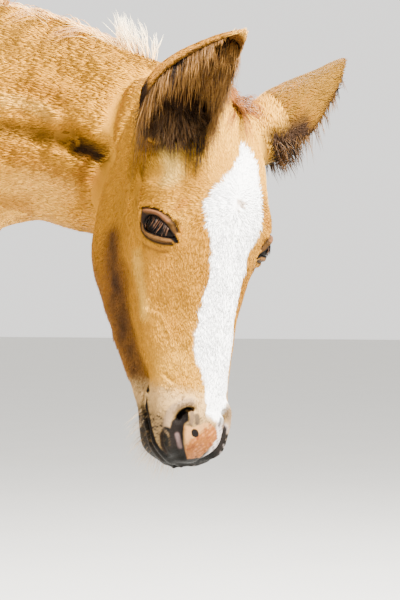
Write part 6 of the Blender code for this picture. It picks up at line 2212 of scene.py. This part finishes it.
@dataclass
class Hoof:
    """A foal's small upright hoof: horn wall, coronet and flat sole."""

    leg: LegForm
    shift: np.ndarray
    top_front: float = 0.06
    top_back: float = 0.034
    length: float = 0.085
    toe: tuple[float, float] = (0.036, 0.014)
    heel: tuple[float, float] = (0.032, 0.004)
    width: tuple[float, float] = (0.0315, 0.006)
    lean: float = 0.012
    notch: float = 0.006
    steps: int = 12

    def build(self, finish: bpy.types.Material) -> None:
        """Extrudes the wall from the sole's ring, slopes its top and rounds its edges."""
        foot = self.leg.foot()
        slope = (self.top_front - self.top_back) / self.length
        Bench.clear()
        bpy.ops.mesh.primitive_circle_add(vertices=48, radius=1.0, fill_type="NGON", location=(0, 0, 0))
        hoof = bpy.context.active_object
        hoof.name = f"horn_{self.leg.pair.value}_{self.leg.side.word}"
        bpy.ops.object.mode_set(mode="EDIT")
        bpy.ops.mesh.select_all(action="SELECT")
        for _ in range(self.steps):
            bpy.ops.mesh.extrude_region_move(TRANSFORM_OT_translate={"value": (0, 0, 1 / self.steps)})
        bpy.ops.object.mode_set(mode="OBJECT")
        points, _ = Bench.read(hoof)
        share = points[:, 2].copy()
        out, across, low = points[:, 0], points[:, 1], 1 - points[:, 2]
        toe, heel, width = (top + flare * low for top, flare in (self.toe, self.heel, self.width))
        ring = 1 + 0.01 * np.sin(share * 34) * smooth_step(share, 0.05, 0.2)
        ring = ring - 0.05 * smooth_step(share, 0.9, 1.0)
        x = out * np.where(out > 0, toe, heel) * ring + self.lean * low
        y = across * width * ring
        top = foot.z + slope * x
        behind = smooth_step(-out, 0.75, 1.0) * np.exp(-((across / 0.35) ** 2))
        x = x + self.notch * behind * (1 - 0.6 * share)
        placed = np.stack([foot.x + x, foot.y + y, top * share], 1) + self.shift
        Bench.write(hoof, placed)
        Bench.pick(hoof)
        bpy.ops.object.mode_set(mode="EDIT")
        bpy.ops.mesh.select_all(action="SELECT")
        bpy.ops.mesh.normals_make_consistent(inside=False)
        bpy.ops.object.mode_set(mode="OBJECT")
        Bench.apply(
            hoof, "BEVEL", width=0.0012, segments=2, limit_method="ANGLE", angle_limit=math.radians(40)
        )
        hoof.data.shade_smooth()
        node = f"hoof_{self.leg.pair.value}_{self.leg.side.word}"
        Bench.hand_over(hoof, finish, "horn", node)


class Graph:
    """A material's nodes, wired by name."""

    def __init__(self, name: str) -> None:
        """Starts a material with its plain shader."""
        self.material = bpy.data.materials.new(name)
        self.material.use_nodes = True
        self.tree = self.material.node_tree
        self.shader = self.tree.nodes["Principled BSDF"]

    def node(self, kind: str, **settings: object) -> bpy.types.Node:
        """Adds a node; a setting is an attribute, or an input where it names one."""
        made = self.tree.nodes.new(kind)
        for key, value in settings.items():
            if key in made.inputs:
                made.inputs[key].default_value = value
            else:
                setattr(made, key, value)
        return made

    def link(self, start: bpy.types.Node, output: str, end: bpy.types.Node, socket: str | int) -> None:
        """Wires one node's output to another's input."""
        self.tree.links.new(start.outputs[output], end.inputs[socket])

    def attribute(self, name: str) -> bpy.types.Node:
        """Reads what is stored on the mesh's points."""
        return self.node("ShaderNodeAttribute", attribute_name=name)

    def mix(self, kind: str, amount: float) -> bpy.types.Node:
        """A node that blends two colours."""
        return self.node("ShaderNodeMix", data_type="RGBA", blend_type=kind, Factor=amount)

    def grain(self, scale: float, detail: float, **more: float) -> bpy.types.Node:
        """A noise that stands still on the object."""
        made = self.node("ShaderNodeTexNoise", Scale=scale, Detail=detail, **more)
        self.link(self.node("ShaderNodeTexCoord"), "Object", made, "Vector")
        return made

    def shaded(
        self, tint: bpy.types.Node, noise: bpy.types.Node, dark: float, bright: float
    ) -> bpy.types.Node:
        """A colour that a noise darkens and brightens between two shares."""
        span = {"From Min": 0.3, "From Max": 0.7, "To Min": dark, "To Max": bright}
        shade = self.node("ShaderNodeMapRange", **span)
        self.link(noise, "Fac", shade, "Value")
        made = self.node("ShaderNodeVectorMath", operation="MULTIPLY")
        self.link(tint, "Color", made, 0)
        self.link(shade, "Result", made, 1)
        return made

    def set(self, **values: object) -> None:
        """Sets the shader's own sockets; an underscore stands for a space."""
        for key, value in values.items():
            self.shader.inputs[key.replace("_", " ")].default_value = value


@dataclass(frozen=True)
class HideFinish:
    """Skin under a short coat, bare and a little moist at the muzzle and lids."""

    fur_scale: float = 900.0
    fur_depth: float = 0.0011
    rough: float = 0.68
    moist: float = 0.5

    def material(self) -> bpy.types.Material:
        """Builds the finish."""
        graph = Graph("hide")
        tint, comb, bare = (graph.attribute(name) for name in ("tint", "comb", "bare"))
        streak = graph.node("ShaderNodeTexNoise", Scale=self.fur_scale, Detail=3.0, Roughness=0.6)
        graph.link(comb, "Vector", streak, "Vector")
        coat = graph.shaded(tint, streak, 0.62, 1.12)
        grain = graph.grain(420.0, 4.0, Roughness=0.7)
        skin = graph.shaded(tint, grain, 0.78, 1.1)
        colour = graph.mix("MIX", 0.5)
        graph.link(bare, "Fac", colour, "Factor")
        graph.link(coat, "Vector", colour, 6)
        graph.link(skin, "Vector", colour, 7)
        graph.tree.links.new(colour.outputs[2], graph.shader.inputs["Base Color"])
        rough = graph.node("ShaderNodeMapRange", **{"To Min": self.rough, "To Max": self.moist})
        graph.link(bare, "Fac", rough, "Value")
        graph.link(rough, "Result", graph.shader, "Roughness")
        bump = graph.node("ShaderNodeBump", Strength=0.55, Distance=self.fur_depth)
        graph.link(streak, "Fac", bump, "Height")
        fine = graph.node("ShaderNodeBump", Strength=0.35, Distance=0.0004)
        graph.link(grain, "Fac", fine, "Height")
        graph.link(bump, "Normal", fine, "Normal")
        graph.link(fine, "Normal", graph.shader, "Normal")
        graph.set(Specular_IOR_Level=0.05)
        return graph.material


@dataclass(frozen=True)
class HairFinish:
    """Hair that takes its colour from its own strands."""

    name: str
    rough: float
    shine: float

    def material(self) -> bpy.types.Material:
        """Builds the finish."""
        graph = Graph(self.name)
        colour = graph.shaded(graph.attribute("tint"), graph.grain(260.0, 2.0), 0.86, 1.1)
        graph.link(colour, "Vector", graph.shader, "Base Color")
        graph.set(Roughness=self.rough, Specular_IOR_Level=self.shine)
        return graph.material


@dataclass(frozen=True)
class HornFinish:
    """Smooth brown-grey horn with growth rings and fine upright streaks."""

    dark: tuple[int, int, int] = (92, 76, 62)
    light: tuple[int, int, int] = (168, 148, 124)

    def material(self) -> bpy.types.Material:
        """Builds the finish."""
        graph = Graph("horn")
        place = graph.node("ShaderNodeTexCoord")
        squeeze = graph.node("ShaderNodeMapping")
        squeeze.inputs["Scale"].default_value = (1.0, 1.0, 0.08)
        graph.link(place, "Object", squeeze, "Vector")
        streak = graph.node("ShaderNodeTexNoise", Scale=420.0, Detail=3.0)
        graph.link(squeeze, "Vector", streak, "Vector")
        rings = graph.node("ShaderNodeTexWave", Scale=26.0, Distortion=1.5, bands_direction="Z")
        graph.link(place, "Object", rings, "Vector")
        blend = graph.mix("OVERLAY", 0.2)
        graph.link(streak, "Fac", blend, 6)
        graph.link(rings, "Fac", blend, 7)
        ramp = graph.node("ShaderNodeValToRGB")
        ramp.color_ramp.elements[0].position, ramp.color_ramp.elements[1].position = 0.25, 0.75
        ramp.color_ramp.elements[0].color = (*srgb(*self.dark), 1)
        ramp.color_ramp.elements[1].color = (*srgb(*self.light), 1)
        graph.tree.links.new(blend.outputs[2], ramp.inputs["Fac"])
        graph.link(ramp, "Color", graph.shader, "Base Color")
        bump = graph.node("ShaderNodeBump", Strength=0.3, Distance=0.0004)
        graph.tree.links.new(blend.outputs[2], bump.inputs["Height"])
        graph.link(bump, "Normal", graph.shader, "Normal")
        graph.set(Roughness=0.42)
        return graph.material


@dataclass(frozen=True)
class EyeFinish:
    """A wet eye, coloured by its own points."""

    rough: float = 0.12
    shine: float = 0.03

    def material(self) -> bpy.types.Material:
        """Builds the finish."""
        graph = Graph("eye")
        graph.link(graph.attribute("tint"), "Color", graph.shader, "Base Color")
        graph.set(Roughness=self.rough, Specular_IOR_Level=self.shine)
        return graph.material


@dataclass(frozen=True)
class FloorFinish:
    """A plain pale floor with the faintest mottle."""

    colour: tuple[int, int, int] = (205, 204, 200)

    def material(self) -> bpy.types.Material:
        """Builds the finish."""
        graph = Graph("floor")
        noise = graph.grain(3.0, 4.0)
        ramp = graph.node("ShaderNodeValToRGB")
        pale = srgb(*self.colour)
        ramp.color_ramp.elements[0].color = (*(pale * 0.96), 1)
        ramp.color_ramp.elements[1].color = (*np.clip(pale * 1.03, 0, 1), 1)
        graph.link(noise, "Fac", ramp, "Fac")
        graph.link(ramp, "Color", graph.shader, "Base Color")
        graph.set(Roughness=0.85)
        return graph.material


@dataclass(frozen=True)
class Lamp:
    """A soft square lamp: its place in degrees from the camera and the floor, size, watts and tint."""

    name: str
    turn: float
    rise: float
    far: float
    size: float
    power: float
    tint: tuple[float, float, float]


@dataclass
class Studio:
    """The floor, the soft lights and the camera."""

    shift: np.ndarray
    azimuth: float = math.radians(20.0)
    target: tuple[float, float, float] = (0.758, -0.064, 0.702)
    distance: float = 2.2
    frame_height: float = 0.708
    sensor: float = 36.0
    sky: tuple[float, float, float] = (1.0, 0.98, 0.95)
    sky_strength: float = 1.6
    lamps: tuple[Lamp, ...] = (
        Lamp("key", 42, 50, 3.2, 0.8, 1450, (1.0, 0.965, 0.91)),
        Lamp("fill", -55, 20, 3.4, 3.0, 120, (0.96, 0.98, 1.0)),
        Lamp("back", 170, 50, 3.2, 1.6, 260, (1.0, 0.98, 0.95)),
    )

    def way(self, turn: float, rise: float) -> Vector:
        """A direction from the foal, turned from the camera's own and raised, in degrees."""
        angle, lift = self.azimuth + math.radians(turn), math.radians(rise)
        flat = math.cos(lift)
        return Vector((math.sin(angle) * flat, -math.cos(angle) * flat, math.sin(lift)))

    def floor(self) -> None:
        """Lays the floor."""
        Bench.clear()
        bpy.ops.mesh.primitive_plane_add(size=60, location=(0, 0, 0))
        floor = bpy.context.active_object
        floor.name = "floor"
        floor.data.materials.append(FloorFinish().material())

    def hang(self, name: str, made: bpy.types.ID, way: Vector, far: float) -> bpy.types.Object:
        """Places a lamp or a camera so that it faces the head from a distance."""
        hung = bpy.data.objects.new(name, made)
        bpy.context.scene.collection.objects.link(hung)
        hung.location = Vector(self.target) + Vector(self.shift) + way * far
        hung.rotation_euler = way.to_track_quat("Z", "Y").to_euler()
        return hung

    def light(self) -> None:
        """Hangs soft square lamps and sets the pale surroundings."""
        for lamp in self.lamps:
            light = bpy.data.lights.new(lamp.name, "AREA")
            light.shape, light.size, light.energy, light.color = "SQUARE", lamp.size, lamp.power, lamp.tint
            self.hang(lamp.name, light, self.way(lamp.turn, lamp.rise), lamp.far)
        world = bpy.data.worlds.new("studio")
        bpy.context.scene.world = world
        world.use_nodes = True
        sky = world.node_tree.nodes["Background"]
        sky.inputs["Color"].default_value = (*self.sky, 1)
        sky.inputs["Strength"].default_value = self.sky_strength

    def camera(self) -> None:
        """Sets the camera at the level of the face, to the foal's right and ahead."""
        lens = bpy.data.cameras.new("camera")
        lens.sensor_fit, lens.sensor_height = "VERTICAL", self.sensor
        lens.lens = self.sensor * self.distance / self.frame_height
        bpy.context.scene.camera = self.hang("camera", lens, self.way(0, 0), self.distance)


def main() -> None:
    """Builds the foal's looks and the studio round it."""
    logging.basicConfig(level=logging.INFO, format="%(message)s")
    foal = Foal()
    studio = Studio(foal.shift)
    studio.floor()
    studio.light()
    studio.camera()
    hide = Hide(foal).build()
    meadow = Field(foal, hide)
    coat, hair = HairFinish("coat", 0.55, 0.05), HairFinish("hair", 0.45, 0.15)
    Coat(foal, meadow).build(coat.material())
    long_hair = LongHair(foal, hair.material())
    long_hair.mane()
    long_hair.forelock()
    long_hair.tail()
    long_hair.ears()
    long_hair.lashes()
    long_hair.whiskers(meadow)
    wet, horn = EyeFinish().material(), HornFinish().material()
    for eye in foal.eyes:
        EyeBall(eye, foal.shift).build(wet)
    for leg in foal.legs:
        Hoof(leg, foal.shift).build(horn)
    points, _ = Bench.read(hide)
    Bench.write(hide, points + foal.shift)
    Bench.hand_over(hide, HideFinish().material(), "coat", *FLESH)


if __name__ == "__main__":
    main()
